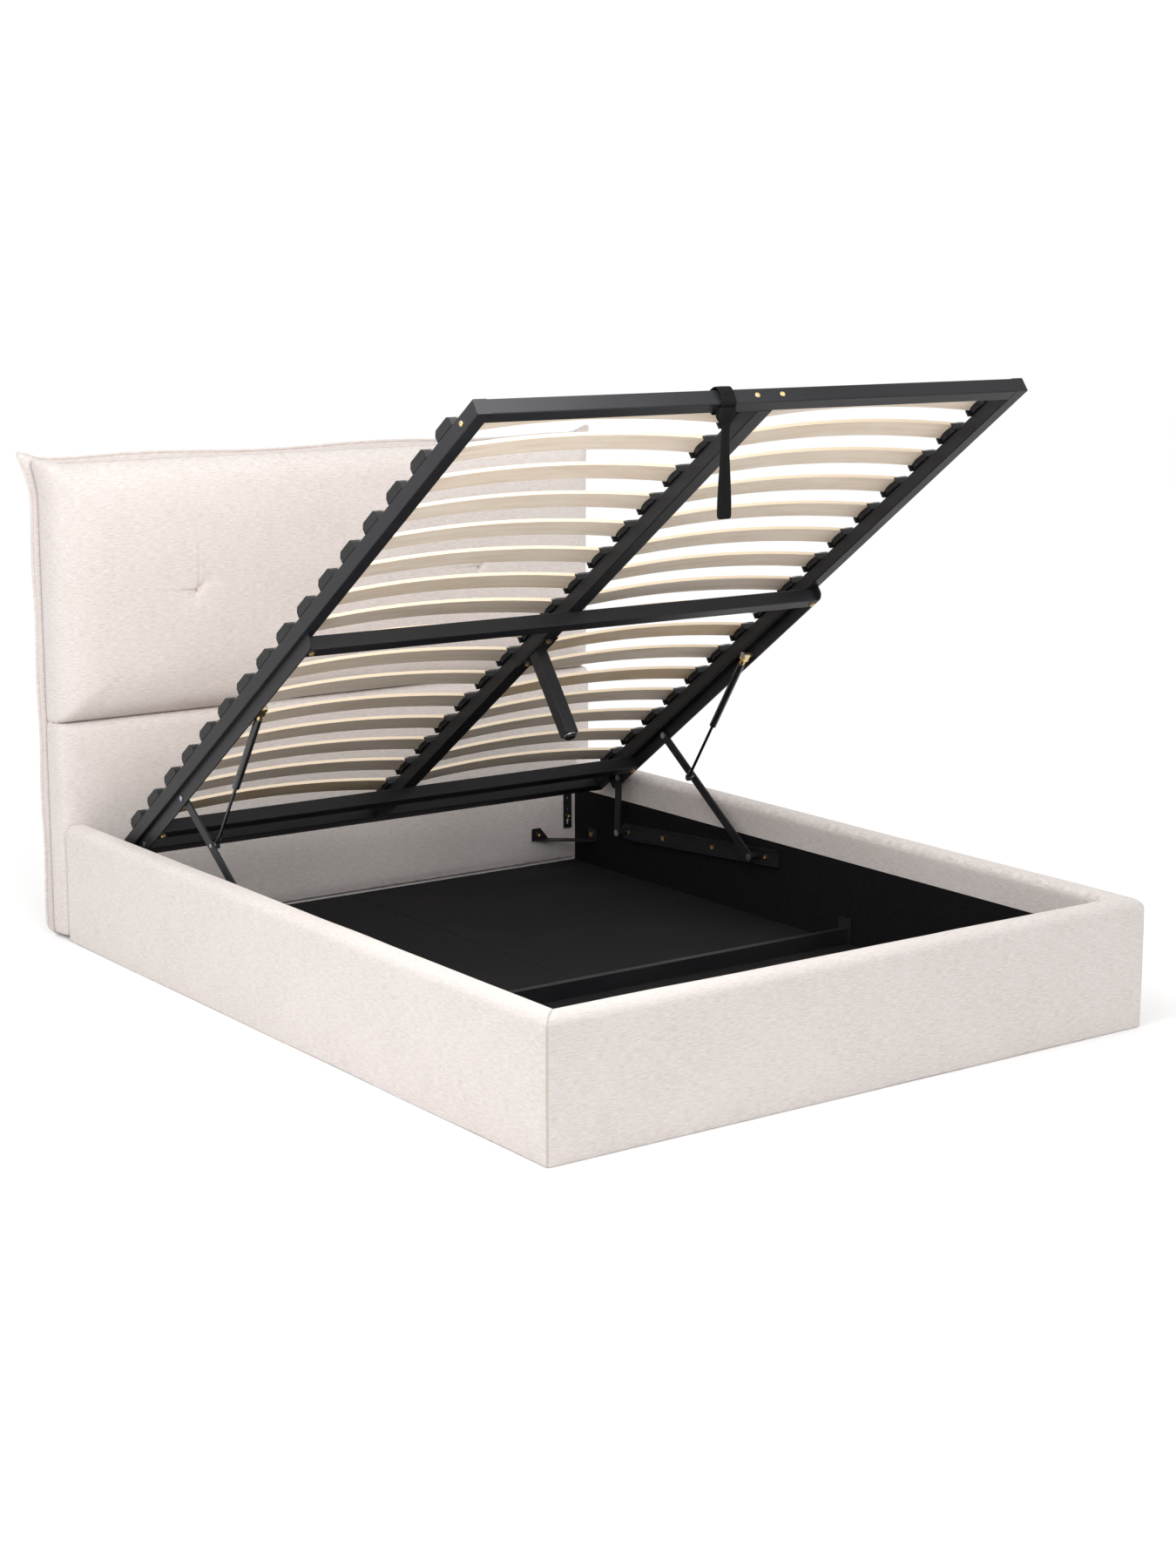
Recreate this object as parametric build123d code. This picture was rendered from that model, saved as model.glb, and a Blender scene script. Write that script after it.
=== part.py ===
from build123d import *
from cmath import rect
from math import radians, sqrt
import os

# Ottoman bed with its slatted platform lifted open.
# X runs across the bed, +Y points to the headboard, +Z is up.
# The origin is on the floor, under the middle of the whole bed.

# Whole bed
base_width = 1650.0
base_length = 2132.0
board_height = 302.0
board_thickness = 65.0
headboard_depth = 95.0
headboard_height = 1228.0
open_tilt = 36.0

# Upholstered boards
board_edge_radius = 24.0
cover_thickness = 9.0
cover_inner_depth = 84.0
lining_thickness = 2.0
corner_seam = 0.6
board_butt_gap = 0.5

# Floor panels
floor_thickness = 7.0
floor_joint = 2.0
floor_edge_gap = 1.0
floor_rail_height = 40.0
floor_rail_width = 20.0
floor_rail_inset = 945.0
floor_rail_plate_height = 66.0
floor_rail_plate_width = 46.0
floor_rail_plate_thickness = 3.0

# Lifting platform
side_gap = 15.0
head_gap = 10.8
platform_length = 2020.0
closed_rail_height = 244.0
rail_size = 35.0
rail_wall = 2.0
rail_corner = 3.0
centre_rail_width = 42.0
middle_bar_start = 1102.0
rear_bar_start = 178.0

# Slats and their caps
slat_count = 16
slat_head_margin = 133.0
slat_foot_margin = 123.0
slat_width = 56.0
slat_thickness = 8.0
slat_rise = 26.0
slat_seat_height = 9.0
cap_length = 66.0
cap_height = 23.0
cap_shoulder = 9.0
cap_wall = 4.0
cap_ear_reach = 10.0
cap_tongue_reach = 8.0
cap_tongue_end = 1.0
pocket_clearance = 0.2

# Lift linkage, all heights above the floor
rear_pivot_from_head = 255.0
rear_pivot_height = 133.0
front_pivot_from_head = 840.0
front_pivot_height = 171.5
rear_pivot_along = 116.0
front_pivot_along = 371.5
strut_pivot_along = 825.0
pivot_drop = 17.5
strut_stud_reach = 300.0
link_width = 24.0
link_thickness = 5.0
link_gap = 1.0
pin_radius = 5.0
pin_clearance = 0.05
pin_head_radius = 9.0
pin_head_thickness = 2.6
rivet_head_radius = 6.5
head_clearance = 0.4
bush_radius = 8.0
open_pivot_gap = 0.4

# Brackets of the linkage
lift_bracket_depth = 35.0
lift_bracket_inset = 11.0
lift_bracket_thickness = 4.0
lift_bracket_flange = 3.0
lift_bracket_start = 67.0
lift_bracket_end = 1152.0
blind_hole_skin = 1.0
flange_notch_gap = 2.0
base_bracket_height = 44.0
base_bracket_thickness = 4.0
base_bracket_lip = 10.0
base_bracket_reach = 669.0
base_bracket_lip_start = 28.0
base_boss_radius = 8.0
bracket_bolt_places = (17.0, 175.0, 394.0, 617.0)
bolt_head_radius = 7.0
bolt_head_height = 4.5
bolt_socket_radius = 3.8
bolt_socket_depth = 3.0
bolt_shank_radius = 4.0
bolt_hole_radius = 4.2
bolt_bite = 30.0

# Gas struts
strut_inset = 13.0
cylinder_radius = 9.0
cylinder_wall = 2.0
cylinder_start = 30.0
cylinder_end = 245.0
cylinder_plug = 6.0
rod_radius = 4.0
rod_clearance = 0.05
rod_start = 196.0
rod_end = 418.0
piston_length = 9.0
piston_radius = 6.92
eye_radius = 9.0
eye_thickness = 8.0
eye_socket_radius = 6.0
eye_socket_length = 22.0
clevis_width = 15.0
clevis_socket_radius = 7.5
clevis_socket_length = 14.0

# Centre leg
leg_along = 937.0
leg_size = 34.0
leg_wall = 2.0
leg_corner = 3.0
leg_floor_gap = 0.6
leg_plate_length = 138.0
leg_plate_thickness = 3.0
leg_bolt_spacing = 112.0
foot_radius = 13.0
foot_height = 6.0
foot_collar_radius = 17.0
foot_collar_height = 2.0
foot_stem_radius = 6.0
foot_stem_length = 42.0
foot_gap = 2.0
foot_nut_height = 8.0
foot_stem_clearance = 0.08

# Pull strap
strap_offset = 115.0
strap_width = 38.0
strap_thickness = 2.4
strap_wrap_gap = 0.5
strap_hang = 246.0
strap_tail_width = 30.0
strap_knot_height = 34.0
strap_knot_radius = 7.0
strap_swing_gap = 0.4

# Mattress retainers on the head bar
retainer_wire = 5.5
retainer_sides = 8
retainer_width = 88.0
retainer_height = 42.0
retainer_corner = 16.0
retainer_places = (-403.0, 325.0)
retainer_foot_length = 26.0

# Screws on the platform frame
screw_head_radius = 6.0
screw_head_height = 2.6
screw_head_edge = 1.0
screw_socket_radius = 3.4
screw_socket_depth = 1.8
screw_shank_radius = 3.0
screw_shank_length = 12.0
screw_clearance = 0.1
shank_sides = 8
side_screw_inset = 60.0
foot_screw_places = (-36.0, 32.0)

# Bolts under the cross bars
bar_bolt_length = 14.0
bar_bolt_inset = 25.0

# Corner hardware of the base
connector_width = 27.0
connector_height = 115.0
connector_thickness = 3.0
connector_bottom = 102.0
connector_side_gap = 12.5
connector_hole_radius = 3.0
connector_hole_heights = (157.0, 190.0, 207.0)
connector_bolt_height = 138.0
keyhole_height = 125.0
keyhole_radius = 5.5
keyhole_slot_radius = 3.0
keyhole_drop = 11.0
brace_bottom = 77.0
brace_thickness = 3.0
brace_tab_height = 36.0
brace_tab_top = 28.0
brace_head_start = 94.0
brace_head_end = 150.0
brace_side_start = 73.0
brace_side_end = 113.0
brace_bolt_height = 95.0
brace_head_bolt = 130.0
brace_side_bolt = 90.0

# Headboard
headboard_half_width = 836.0
headboard_bottom = 4.0
headboard_board_thickness = 36.0
headboard_board_inset = 14.0
board_fit = 0.2
crease_height = 557.0
crease_gap = 3.0
lower_pad_radius = 40.0
pad_edge = 14.0
pad_depth_shares = (0, 0.3, 0.75, 0.93, 1)
pad_inset_shares = (0.3, 0, 0.1, 0.45, 1)
cushion_proud = 22.0
cushion_corner = 46.0
cushion_edge = 26.0
cushion_depth_shares = (0, 0.25, 0.55, 0.78, 0.91, 0.97, 1)
cushion_inset_shares = (0.3, 0, 0.05, 0.35, 1, 2.2, 6)
tuft_spacing = 435.0
tuft_height = 881.0
tuft_radius = 58.0
tuft_depth = 17.0
tuft_waist_share = 0.45
tuft_shoulder_share = 0.32
button_radius = 10.0
button_thickness = 5.0
button_gap = 0.4
back_cover_thickness = 4.0
hem_width = 10.0
ear_reach = 34.0
ear_tip_rise = 10.0
ear_tip_width = 12.0
ear_rise = 22.0
ear_length = 96.0
ear_sag = 7.0
top_sag = 10.0

overrun = 5.0

# Worked-out places
overall_length = base_length + headboard_depth
foot_face = -overall_length / 2
head_face = foot_face + base_length
inner_half = base_width / 2 - board_thickness
platform_half = inner_half - side_gap
rail_centre = platform_half - rail_size / 2
web_outer = platform_half - lift_bracket_inset
web_inner = web_outer - lift_bracket_thickness
bar_bolt_places = (bar_bolt_inset - platform_half, platform_half - bar_bolt_inset)
link_outer = web_inner - link_gap
link_inner = link_outer - link_thickness
strut_x = link_inner - strut_inset
bracket_face = inner_half - base_bracket_thickness
slat_pitch = (platform_length - slat_head_margin - slat_foot_margin) / (slat_count - 1)
slat_places = [slat_head_margin + slat_pitch * number for number in range(slat_count)]


def turned(vector, angle):
    """A vector in the side view (Y as real, Z as imaginary), turned from Y towards Z."""
    return vector * rect(1, radians(angle))


def circle_crossing(first, first_reach, second, second_reach):
    """Where two circles in the side view cross, on the headboard side of their line."""
    span = second - first
    along = (first_reach ** 2 - second_reach ** 2 + abs(span) ** 2) / (2 * abs(span))
    across = sqrt(first_reach ** 2 - along ** 2)
    return first + span / abs(span) * complex(along, -across)


# Linkage, solved from the closed bed: the links keep their lengths as the platform tilts
closed_head = complex(head_face - head_gap, closed_rail_height)
base_rear = complex(head_face - rear_pivot_from_head, rear_pivot_height)
base_front = complex(head_face - front_pivot_from_head, front_pivot_height)
closed_rear = closed_head - complex(rear_pivot_along, pivot_drop)
closed_front = closed_head - complex(front_pivot_along, pivot_drop)
rear_reach = abs(closed_rear - base_rear)
front_reach = abs(closed_front - base_front)
open_span = turned(closed_front - closed_rear, -open_tilt)
open_rear = circle_crossing(base_rear, rear_reach, base_front - open_span, front_reach)
open_front = open_rear + open_span
open_head = open_rear + turned(closed_head - closed_rear, -open_tilt)
closed_strut = closed_head - complex(strut_pivot_along, pivot_drop)
open_strut = open_rear + turned(closed_strut - closed_rear, -open_tilt)
open_stud = base_front + (open_front - base_front) * strut_stud_reach / front_reach
closed_stud = base_front + (closed_front - base_front) * strut_stud_reach / front_reach
strut_length = abs(open_stud - open_strut)
front_from_rear = abs(base_front - base_rear)
platform_place = Pos(0, open_head.real, open_head.imag) * Rot(-open_tilt, 0, 0)


def write(name, solid):
    export_step(solid, os.path.join("parts", name + ".step"))


def block(x_span, y_span, z_span):
    """A box between pairs of coordinates."""
    low = Vector(x_span[0], y_span[0], z_span[0])
    size = Vector(x_span[1], y_span[1], z_span[1]) - low
    return Pos(low) * Box(*size, align=(Align.MIN, Align.MIN, Align.MIN))


def group(solids):
    return Compound(children=list(solids))


def other_side(solid):
    return mirror(solid, about=Plane.YZ)


def cylinder_x(radius, x_span, place):
    """A cylinder along X, at a side-view place."""
    tube = Cylinder(radius, x_span[1] - x_span[0], align=(Align.CENTER, Align.CENTER, Align.MIN))
    return Pos(x_span[0], place.real, place.imag) * Rot(0, 90, 0) * tube


def side_view(profile, x_span):
    """A profile drawn in Y and Z, extruded along X between two coordinates."""
    return Pos(x_span[0], 0, 0) * extrude(Plane.YZ * profile, x_span[1] - x_span[0])


def along(place, drop=0.0):
    """A place on the platform, from its head end and down from the underside of its rails."""
    return complex(-place, -drop)


# Upholstered boards
def board_section(thickness, height, radius):
    """Upright board section standing on zero, with a rounded top."""
    section = Pos(0, height / 2) * Rectangle(thickness, height)
    return fillet(section.vertices().group_by(Axis.Y)[-1], radius)


def core_section():
    """The board inside its padding, which is thinner on the inner side."""
    width = board_thickness - cover_thickness - lining_thickness
    section = board_section(width, board_height - cover_thickness, board_edge_radius - cover_thickness)
    return Pos((lining_thickness - cover_thickness) / 2, 0) * section


def cover_section():
    """Padding over a board; its inner side, towards negative X, ends above the lining."""
    outside = board_section(board_thickness, board_height, board_edge_radius)
    below_height = board_height - cover_inner_depth
    below_centre = (lining_thickness - board_thickness) / 2
    below = Pos(below_centre, below_height / 2) * Rectangle(lining_thickness, below_height)
    return outside - core_section() - below


def corner_cut(side, towards_foot):
    """Plan triangle past the diagonal of a foot corner, as a prism."""
    outer = side * (base_width / 2 + overrun)
    inner = side * (inner_half - overrun)
    shift = corner_seam / 2 if towards_foot else -corner_seam / 2
    near = foot_face - overrun + shift
    far = foot_face + board_thickness + overrun + shift
    third = (inner, near) if towards_foot else (outer, far)
    plan = make_face(Polyline((outer, near), (inner, far), third, close=True))
    return Pos(0, 0, -overrun) * extrude(plan, board_height + overrun + overrun)


def side_board(section):
    """Runs a section along the right side, from the mitred foot corner to the headboard."""
    start = Plane(origin=(base_width / 2 - board_thickness / 2, foot_face, 0),
                  x_dir=(1, 0, 0), z_dir=(0, -1, 0))
    return extrude(start * section, -(base_length - board_butt_gap)) - corner_cut(1, True)


def foot_board(section):
    """Runs a section along the foot between two mitred corners."""
    start = Plane(origin=(0, foot_face + board_thickness / 2, 0), x_dir=(0, -1, 0), z_dir=(-1, 0, 0))
    run = extrude(start * section, base_width / 2, both=True)
    return run - corner_cut(1, False) - corner_cut(-1, False)


def lining(x_span, y_span):
    """Black cloth on the inner face of a board, below the end of its cover."""
    return block(x_span, y_span, (0, board_height - cover_inner_depth))


def write_boards():
    right_core = side_board(core_section())
    for hole in bracket_bolt_holes():
        right_core -= hole
    right_cover = side_board(cover_section())
    write("side_board_right", right_core)
    write("side_board_left", other_side(right_core))
    write("side_cover_right", right_cover)
    write("side_cover_left", other_side(right_cover))
    write("foot_board", foot_board(core_section()))
    write("foot_cover", foot_board(cover_section()))
    face = inner_half + lining_thickness
    front = foot_face + board_thickness - lining_thickness
    side_lining = lining((inner_half, face), (front + lining_thickness, head_face - board_butt_gap))
    for hole in bracket_bolt_holes():
        side_lining -= hole
    write("side_linings", group([side_lining, other_side(side_lining)]))
    write("foot_lining", lining((-inner_half, inner_half), (front, front + lining_thickness)))


# Floor of the storage space
def write_floor():
    half = inner_half - floor_edge_gap
    front = foot_face + board_thickness + floor_edge_gap
    rear = head_face - floor_edge_gap
    right = block((floor_joint / 2, half), (front, rear), (0, floor_thickness))
    write("floor_panel_right", right)
    write("floor_panel_left", other_side(right))
    middle = foot_face + floor_rail_inset
    rail_half = inner_half - floor_rail_plate_thickness
    rail = block((-rail_half, rail_half), (middle - floor_rail_width / 2, middle + floor_rail_width / 2),
                 (floor_thickness, floor_thickness + floor_rail_height))
    plate = block((rail_half, rail_half + floor_rail_plate_thickness),
                  (middle - floor_rail_plate_width / 2, middle + floor_rail_plate_width / 2),
                  (floor_thickness, floor_thickness + floor_rail_plate_height))
    write("floor_rail", rail)
    write("floor_rail_plates", group([plate, other_side(plate)]))


# Frame of the lifting platform, drawn level with its head end on Y zero
def tube_section(width, height, wall, radius):
    outer = RectangleRounded(width, height, radius)
    return outer - Rectangle(width - wall - wall, height - wall - wall)


def rail(width, x_middle, y_span, bottom=0.0):
    """A square-tube rail that runs along the platform, with closed ends."""
    start = Plane(origin=(x_middle, y_span[0], bottom + rail_size / 2), x_dir=(1, 0, 0), z_dir=(0, -1, 0))
    length = y_span[1] - y_span[0]
    body = extrude(start * RectangleRounded(width, rail_size, rail_corner), -length)
    inside = Rectangle(width - rail_wall - rail_wall, rail_size - rail_wall - rail_wall)
    inner_start = start.offset(-rail_wall)
    return body - extrude(inner_start * inside, -(length - rail_wall - rail_wall))


def cross_bar(x_span, y_middle, bottom=0.0):
    """A square tube across the platform, open at its ends."""
    start = Plane(origin=(x_span[0], y_middle, bottom + rail_size / 2), x_dir=(0, 1, 0), z_dir=(1, 0, 0))
    section = tube_section(rail_size, rail_size, rail_wall, rail_corner)
    return extrude(start * section, x_span[1] - x_span[0])


def on_platform(solid):
    return platform_place * solid


def write_platform_frame():
    side_rail = rail(rail_size, rail_centre, (-platform_length, 0))
    screw_hole = Cylinder(screw_shank_radius + screw_clearance, rail_wall + rail_wall)
    side_rail -= Pos(platform_half, side_screw_inset - platform_length, rail_size / 2) * Rot(0, 90, 0) * screw_hole
    right = on_platform(side_rail)
    write("side_rail_right", right)
    write("side_rail_left", other_side(right))
    reach = platform_half - rail_size
    write("head_bar", on_platform(cross_bar((-reach, reach), -rail_size / 2)))
    foot_bar = cross_bar((-reach, reach), rail_size / 2 - platform_length)
    for place in foot_screw_places:
        drill = Cylinder(screw_shank_radius + screw_clearance, rail_wall + rail_wall)
        foot_bar -= Pos(place, -platform_length, rail_size / 2) * Rot(90, 0, 0) * drill
    write("foot_bar", on_platform(foot_bar))
    centre_span = (rail_size - platform_length, -rail_size)
    write("centre_rail", on_platform(rail(centre_rail_width, 0, centre_span)))
    for name, place in (("middle_cross_bar", middle_bar_start), ("rear_cross_bar", rear_bar_start)):
        bar = cross_bar((-web_inner, web_inner), -place - rail_size / 2, -rail_size)
        for across in bar_bolt_places:
            drill = Cylinder(bolt_hole_radius, rail_wall + rail_wall)
            bar -= Pos(across, -place - rail_size / 2, -rail_size) * drill
        write(name, on_platform(bar))


def lift_bracket():
    """Angle under a side rail that carries the links; its flange stops at the cross bars."""
    half = lift_bracket_depth / 2
    length = lift_bracket_end - lift_bracket_start
    middle = -(lift_bracket_start + lift_bracket_end) / 2
    with_corners = Pos(middle, -half) * Rectangle(length, lift_bracket_depth)
    web = fillet(with_corners.vertices().group_by(Axis.Y)[0], half)
    bracket = side_view(web, (web_inner, web_outer))
    ends = (lift_bracket_start, rear_bar_start - flange_notch_gap,
            rear_bar_start + rail_size + flange_notch_gap, middle_bar_start - flange_notch_gap)
    for near, far in (ends[0:2], ends[2:4]):
        bracket += block((platform_half - rail_size, web_inner), (-far, -near), (-lift_bracket_flange, 0))
    for place, end in ((rear_pivot_along, web_outer + overrun), (front_pivot_along, web_outer + overrun),
                       (strut_pivot_along, web_outer - blind_hole_skin)):
        bracket -= cylinder_x(pin_radius, (web_inner - overrun, end), along(place, pivot_drop))
    return bracket


def hex_bolt(shank_length):
    """Bolt pointing down Z, its head with a socket on top of zero."""
    head = extrude(RegularPolygon(bolt_head_radius, 6), bolt_head_height)
    head -= Pos(0, 0, bolt_head_height - bolt_socket_depth) * extrude(RegularPolygon(bolt_socket_radius, 6),
                                                                     bolt_head_height)
    return head + extrude(RegularPolygon(bolt_shank_radius, shank_sides), -shank_length)


def pan_screw(shank_length):
    """Round-headed screw pointing down Z, its head with a socket on top of zero."""
    dome = Pos(0, 0, screw_head_height / 2) * Cylinder(screw_head_radius, screw_head_height)
    dome = chamfer(dome.edges().group_by(Axis.Z)[-1], screw_head_edge)
    dome -= Pos(0, 0, screw_head_height - screw_socket_depth) * extrude(RegularPolygon(screw_socket_radius, 6),
                                                                       screw_head_height)
    return dome + extrude(RegularPolygon(screw_shank_radius, shank_sides), -shank_length)


def write_lift_brackets():
    right = on_platform(lift_bracket())
    write("lift_bracket_right", right)
    write("lift_bracket_left", other_side(right))


def write_platform_fasteners():
    """Screws at the foot end of the frame; returns the bolts under the cross bars."""
    bolt = Rot(180, 0, 0) * hex_bolt(bar_bolt_length)
    bolts = []
    for place in (middle_bar_start, rear_bar_start):
        for across in bar_bolt_places:
            bolts.append(on_platform(Pos(across, -place - rail_size / 2, -rail_size) * bolt))
    front_screw = Pos(0, -platform_length, rail_size / 2) * Rot(90, 0, 0) * pan_screw(screw_shank_length)
    screws = [on_platform(Pos(across, 0, 0) * front_screw) for across in foot_screw_places]
    side = Pos(platform_half, side_screw_inset - platform_length, rail_size / 2) * Rot(0, 90, 0)
    side_screw = on_platform(side * pan_screw(screw_shank_length))
    write("platform_screws", group(screws + [side_screw, other_side(side_screw)]))
    return bolts


# Slats in their caps
def slat_body(place, clearance):
    """A bowed slat on the right side, or with a clearance the space that it takes in a cap."""
    outer = platform_half - cap_wall + clearance
    inner = cap_wall / 2 - clearance
    middle = (outer + inner) / 2
    low = rail_size + slat_seat_height - clearance
    top = rail_size + slat_seat_height + slat_thickness + clearance
    lower = ThreePointArc((inner, low), (middle, low + slat_rise), (outer, low))
    upper = ThreePointArc((outer, top), (middle, top + slat_rise), (inner, top))
    profile = make_face([lower, Line(lower @ 1, upper @ 0), upper, Line(upper @ 1, lower @ 0)])
    width = slat_width + clearance + clearance
    start = Plane(origin=(0, width / 2 - place, 0), x_dir=(1, 0, 0), z_dir=(0, -1, 0))
    return extrude(start * profile, width, dir=(0, -1, 0))


def cap_body(place, x_span):
    """Moulded cap on top of a rail, with two sloping shoulders."""
    profile = Pos(-place, rail_size + cap_height / 2) * Rectangle(cap_length, cap_height)
    profile = chamfer(profile.vertices().group_by(Axis.Y)[-1], cap_shoulder)
    return side_view(profile, x_span)


def mouth_cut(place, edge):
    """Space between the two ears of a cap, past its rounded tongue; edge is the left edge of the rail."""
    half = slat_width / 2 + pocket_clearance
    near = (edge - cap_tongue_end, -half - place)
    far = (edge - cap_tongue_end, half - place)
    end = edge - cap_ear_reach - overrun
    tongue = ThreePointArc(near, (edge - cap_tongue_reach, -place), far)
    rim = Polyline(far, (end, half - place), (end, -half - place), near)
    return Pos(0, 0, rail_size - overrun) * extrude(make_face([tongue, rim]), cap_height + overrun + overrun)


def write_slats():
    slats = [on_platform(slat_body(place, 0)) for place in slat_places]
    write("slats_right", group(slats))
    write("slats_left", group(other_side(slat) for slat in slats))
    outer_caps = []
    centre_caps = []
    for place in slat_places:
        pocket = slat_body(place, pocket_clearance)
        inner = platform_half - rail_size
        outer_cap = cap_body(place, (inner - cap_ear_reach, platform_half)) - mouth_cut(place, inner)
        outer_caps.append(on_platform(outer_cap - pocket))
        half = centre_rail_width / 2
        left_mouth = mouth_cut(place, -half)
        centre_cap = cap_body(place, (-half - cap_ear_reach, half + cap_ear_reach))
        centre_cap -= left_mouth + other_side(left_mouth)
        centre_caps.append(on_platform(centre_cap - pocket - other_side(pocket)))
    write("rail_caps_right", group(outer_caps))
    write("rail_caps_left", group(other_side(cap) for cap in outer_caps))
    write("centre_caps", group(centre_caps))


# Centre leg
def write_centre_leg():
    """Leg under the middle of the platform; returns the bolts that hold its plate."""
    half = leg_bolt_spacing / 2
    plate = block((-centre_rail_width / 2, centre_rail_width / 2),
                  (-leg_along - leg_plate_length / 2, leg_plate_length / 2 - leg_along),
                  (-leg_plate_thickness, 0))
    for shift in (-half, half):
        plate -= Pos(0, shift - leg_along, 0) * Cylinder(bolt_hole_radius, rail_size)
    foot_bottom = floor_thickness + leg_floor_gap - closed_rail_height
    tube_bottom = foot_bottom + foot_height + foot_collar_height + foot_gap
    top = -leg_plate_thickness
    place = Pos(0, -leg_along, top)
    tube = extrude(tube_section(leg_size, leg_size, leg_wall, leg_corner), tube_bottom - top)
    inside = leg_size - leg_wall - leg_wall
    nut = Pos(0, 0, tube_bottom - top + foot_nut_height / 2) * Box(inside, inside, foot_nut_height)
    nut -= Cylinder(foot_stem_radius + foot_stem_clearance, closed_rail_height + closed_rail_height)
    write("leg_plate", on_platform(plate))
    write("centre_leg", on_platform(place * tube))
    write("leg_nut", on_platform(place * nut))
    foot = Pos(0, 0, foot_height / 2) * Cylinder(foot_radius, foot_height)
    foot = chamfer(foot.edges().group_by(Axis.Z)[0], foot_collar_height)
    collar = Pos(0, 0, foot_height + foot_collar_height / 2) * Cylinder(foot_collar_radius, foot_collar_height)
    stem_low = foot_height + foot_collar_height
    stem = Pos(0, 0, stem_low + foot_stem_length / 2) * Cylinder(foot_stem_radius, foot_stem_length)
    foot_place = Pos(0, -leg_along, foot_bottom)
    write("foot_pad", on_platform(foot_place * foot))
    write("foot_stem", on_platform(foot_place * (collar + stem)))
    bolt = Rot(180, 0, 0) * hex_bolt(leg_plate_thickness)
    bolts = [on_platform(Pos(0, shift - leg_along, -leg_plate_thickness) * bolt) for shift in (-half, half)]
    return bolts


# Links and pivots
def link_place(first, second, x_low):
    """Plane at a link's near end, with its X along the link."""
    step = second - first
    return Plane(origin=(x_low, first.real, first.imag), x_dir=(0, step.real, step.imag), z_dir=(1, 0, 0))


def link(first, second, holes):
    """Flat link with rounded ends; holes gives places along it and their radii."""
    reach = abs(second - first)
    profile = Pos(reach / 2, 0) * SlotCenterToCenter(reach, link_width)
    for place, radius in holes:
        profile -= Pos(place, 0) * Circle(radius)
    return extrude(link_place(first, second, link_inner) * profile, link_thickness)


def pivot_pin(place, shaft_span, heads):
    """Pin along X; heads gives where each head starts and its radius."""
    pin = cylinder_x(pin_radius, shaft_span, place)
    for start, radius in heads:
        pin += cylinder_x(radius, (start, start + pin_head_thickness), place)
    return pin


def write_links():
    running = pin_radius + pin_clearance
    rear = link(base_rear, open_rear, ((0, running), (rear_reach, running)))
    front = link(base_front, open_front,
                 ((0, running), (strut_stud_reach, pin_radius), (front_reach, pin_radius)))
    write("rear_link_right", rear)
    write("rear_link_left", other_side(rear))
    write("front_link_right", front)
    write("front_link_left", other_side(front))
    inner_head = (link_inner - head_clearance - pin_head_thickness, pin_head_radius)
    outer_head = (web_outer, rivet_head_radius)
    base_pins = []
    for place in (base_rear, base_front):
        base_pins.append(pivot_pin(place, (inner_head[0], inner_half), (inner_head,)))
    write("base_pivot_pins", group(base_pins + [other_side(pin) for pin in base_pins]))
    rear_pin = pivot_pin(open_rear, (inner_head[0], web_outer), (inner_head, outer_head))
    front_stub = pivot_pin(open_front, (web_inner, web_outer), (outer_head,))
    strut_low = strut_x - clevis_width / 2
    strut_high = strut_x + clevis_width / 2
    clip = strut_low - head_clearance - pin_head_thickness
    strut_pin = pivot_pin(open_strut, (clip, web_outer - blind_hole_skin), ((clip, pin_head_radius),))
    strut_pin += cylinder_x(bush_radius, (strut_high + head_clearance, web_inner), open_strut)
    pins = [rear_pin, front_stub, strut_pin]
    write("platform_pivot_pins", group(pins + [other_side(pin) for pin in pins]))
    link_rivet = pivot_pin(open_front, (link_inner - pin_head_thickness, link_outer),
                           ((link_inner - pin_head_thickness, pin_head_radius),))
    stud_end = strut_x + eye_thickness / 2 + open_pivot_gap
    stud = cylinder_x(pin_radius, (stud_end, link_outer), open_stud)
    stud += cylinder_x(pin_head_radius, (link_inner - pin_head_thickness, link_inner), open_stud)
    rivets = [link_rivet, stud]
    write("front_link_studs", group(rivets + [other_side(rivet) for rivet in rivets]))


# Channels on the side boards
def base_bracket():
    """Channel on a side board with a boss at each lower pivot; its line runs through both."""
    height = base_bracket_height
    lip_length = base_bracket_reach - base_bracket_lip_start
    web = Pos(base_bracket_reach / 2, 0) * Rectangle(base_bracket_reach, height) + Circle(height / 2)
    for place in bracket_bolt_places:
        web -= Pos(place, 0) * Circle(bolt_hole_radius)
    bracket = extrude(link_place(base_rear, base_front, bracket_face) * web, base_bracket_thickness)
    lip_middle = base_bracket_lip_start + lip_length / 2
    rise = (height - base_bracket_thickness) / 2
    lips = Pos(lip_middle, rise) * Rectangle(lip_length, base_bracket_thickness)
    lips += Pos(lip_middle, -rise) * Rectangle(lip_length, base_bracket_thickness)
    lip_depth = base_bracket_lip - base_bracket_thickness
    lip_plane = link_place(base_rear, base_front, bracket_face - lip_depth)
    bracket += extrude(lip_plane * lips, lip_depth)
    for place in (base_rear, base_front):
        bracket += cylinder_x(base_boss_radius, (link_outer + head_clearance, bracket_face), place)
        bracket -= cylinder_x(pin_radius, (link_outer, inner_half + overrun), place)
    return bracket


def bracket_bolt_rows(make):
    """One solid at each bolt place of the right channel, pointing into the board."""
    step = (base_front - base_rear) / front_from_rear
    for place in bracket_bolt_places:
        spot = base_rear + step * place
        yield Pos(bracket_face, spot.real, spot.imag) * Rot(0, -90, 0) * make


def write_base_brackets():
    """The two channels; returns the bolts of the right one."""
    right = base_bracket()
    write("base_bracket_right", right)
    write("base_bracket_left", other_side(right))
    return list(bracket_bolt_rows(hex_bolt(bolt_bite)))


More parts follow.
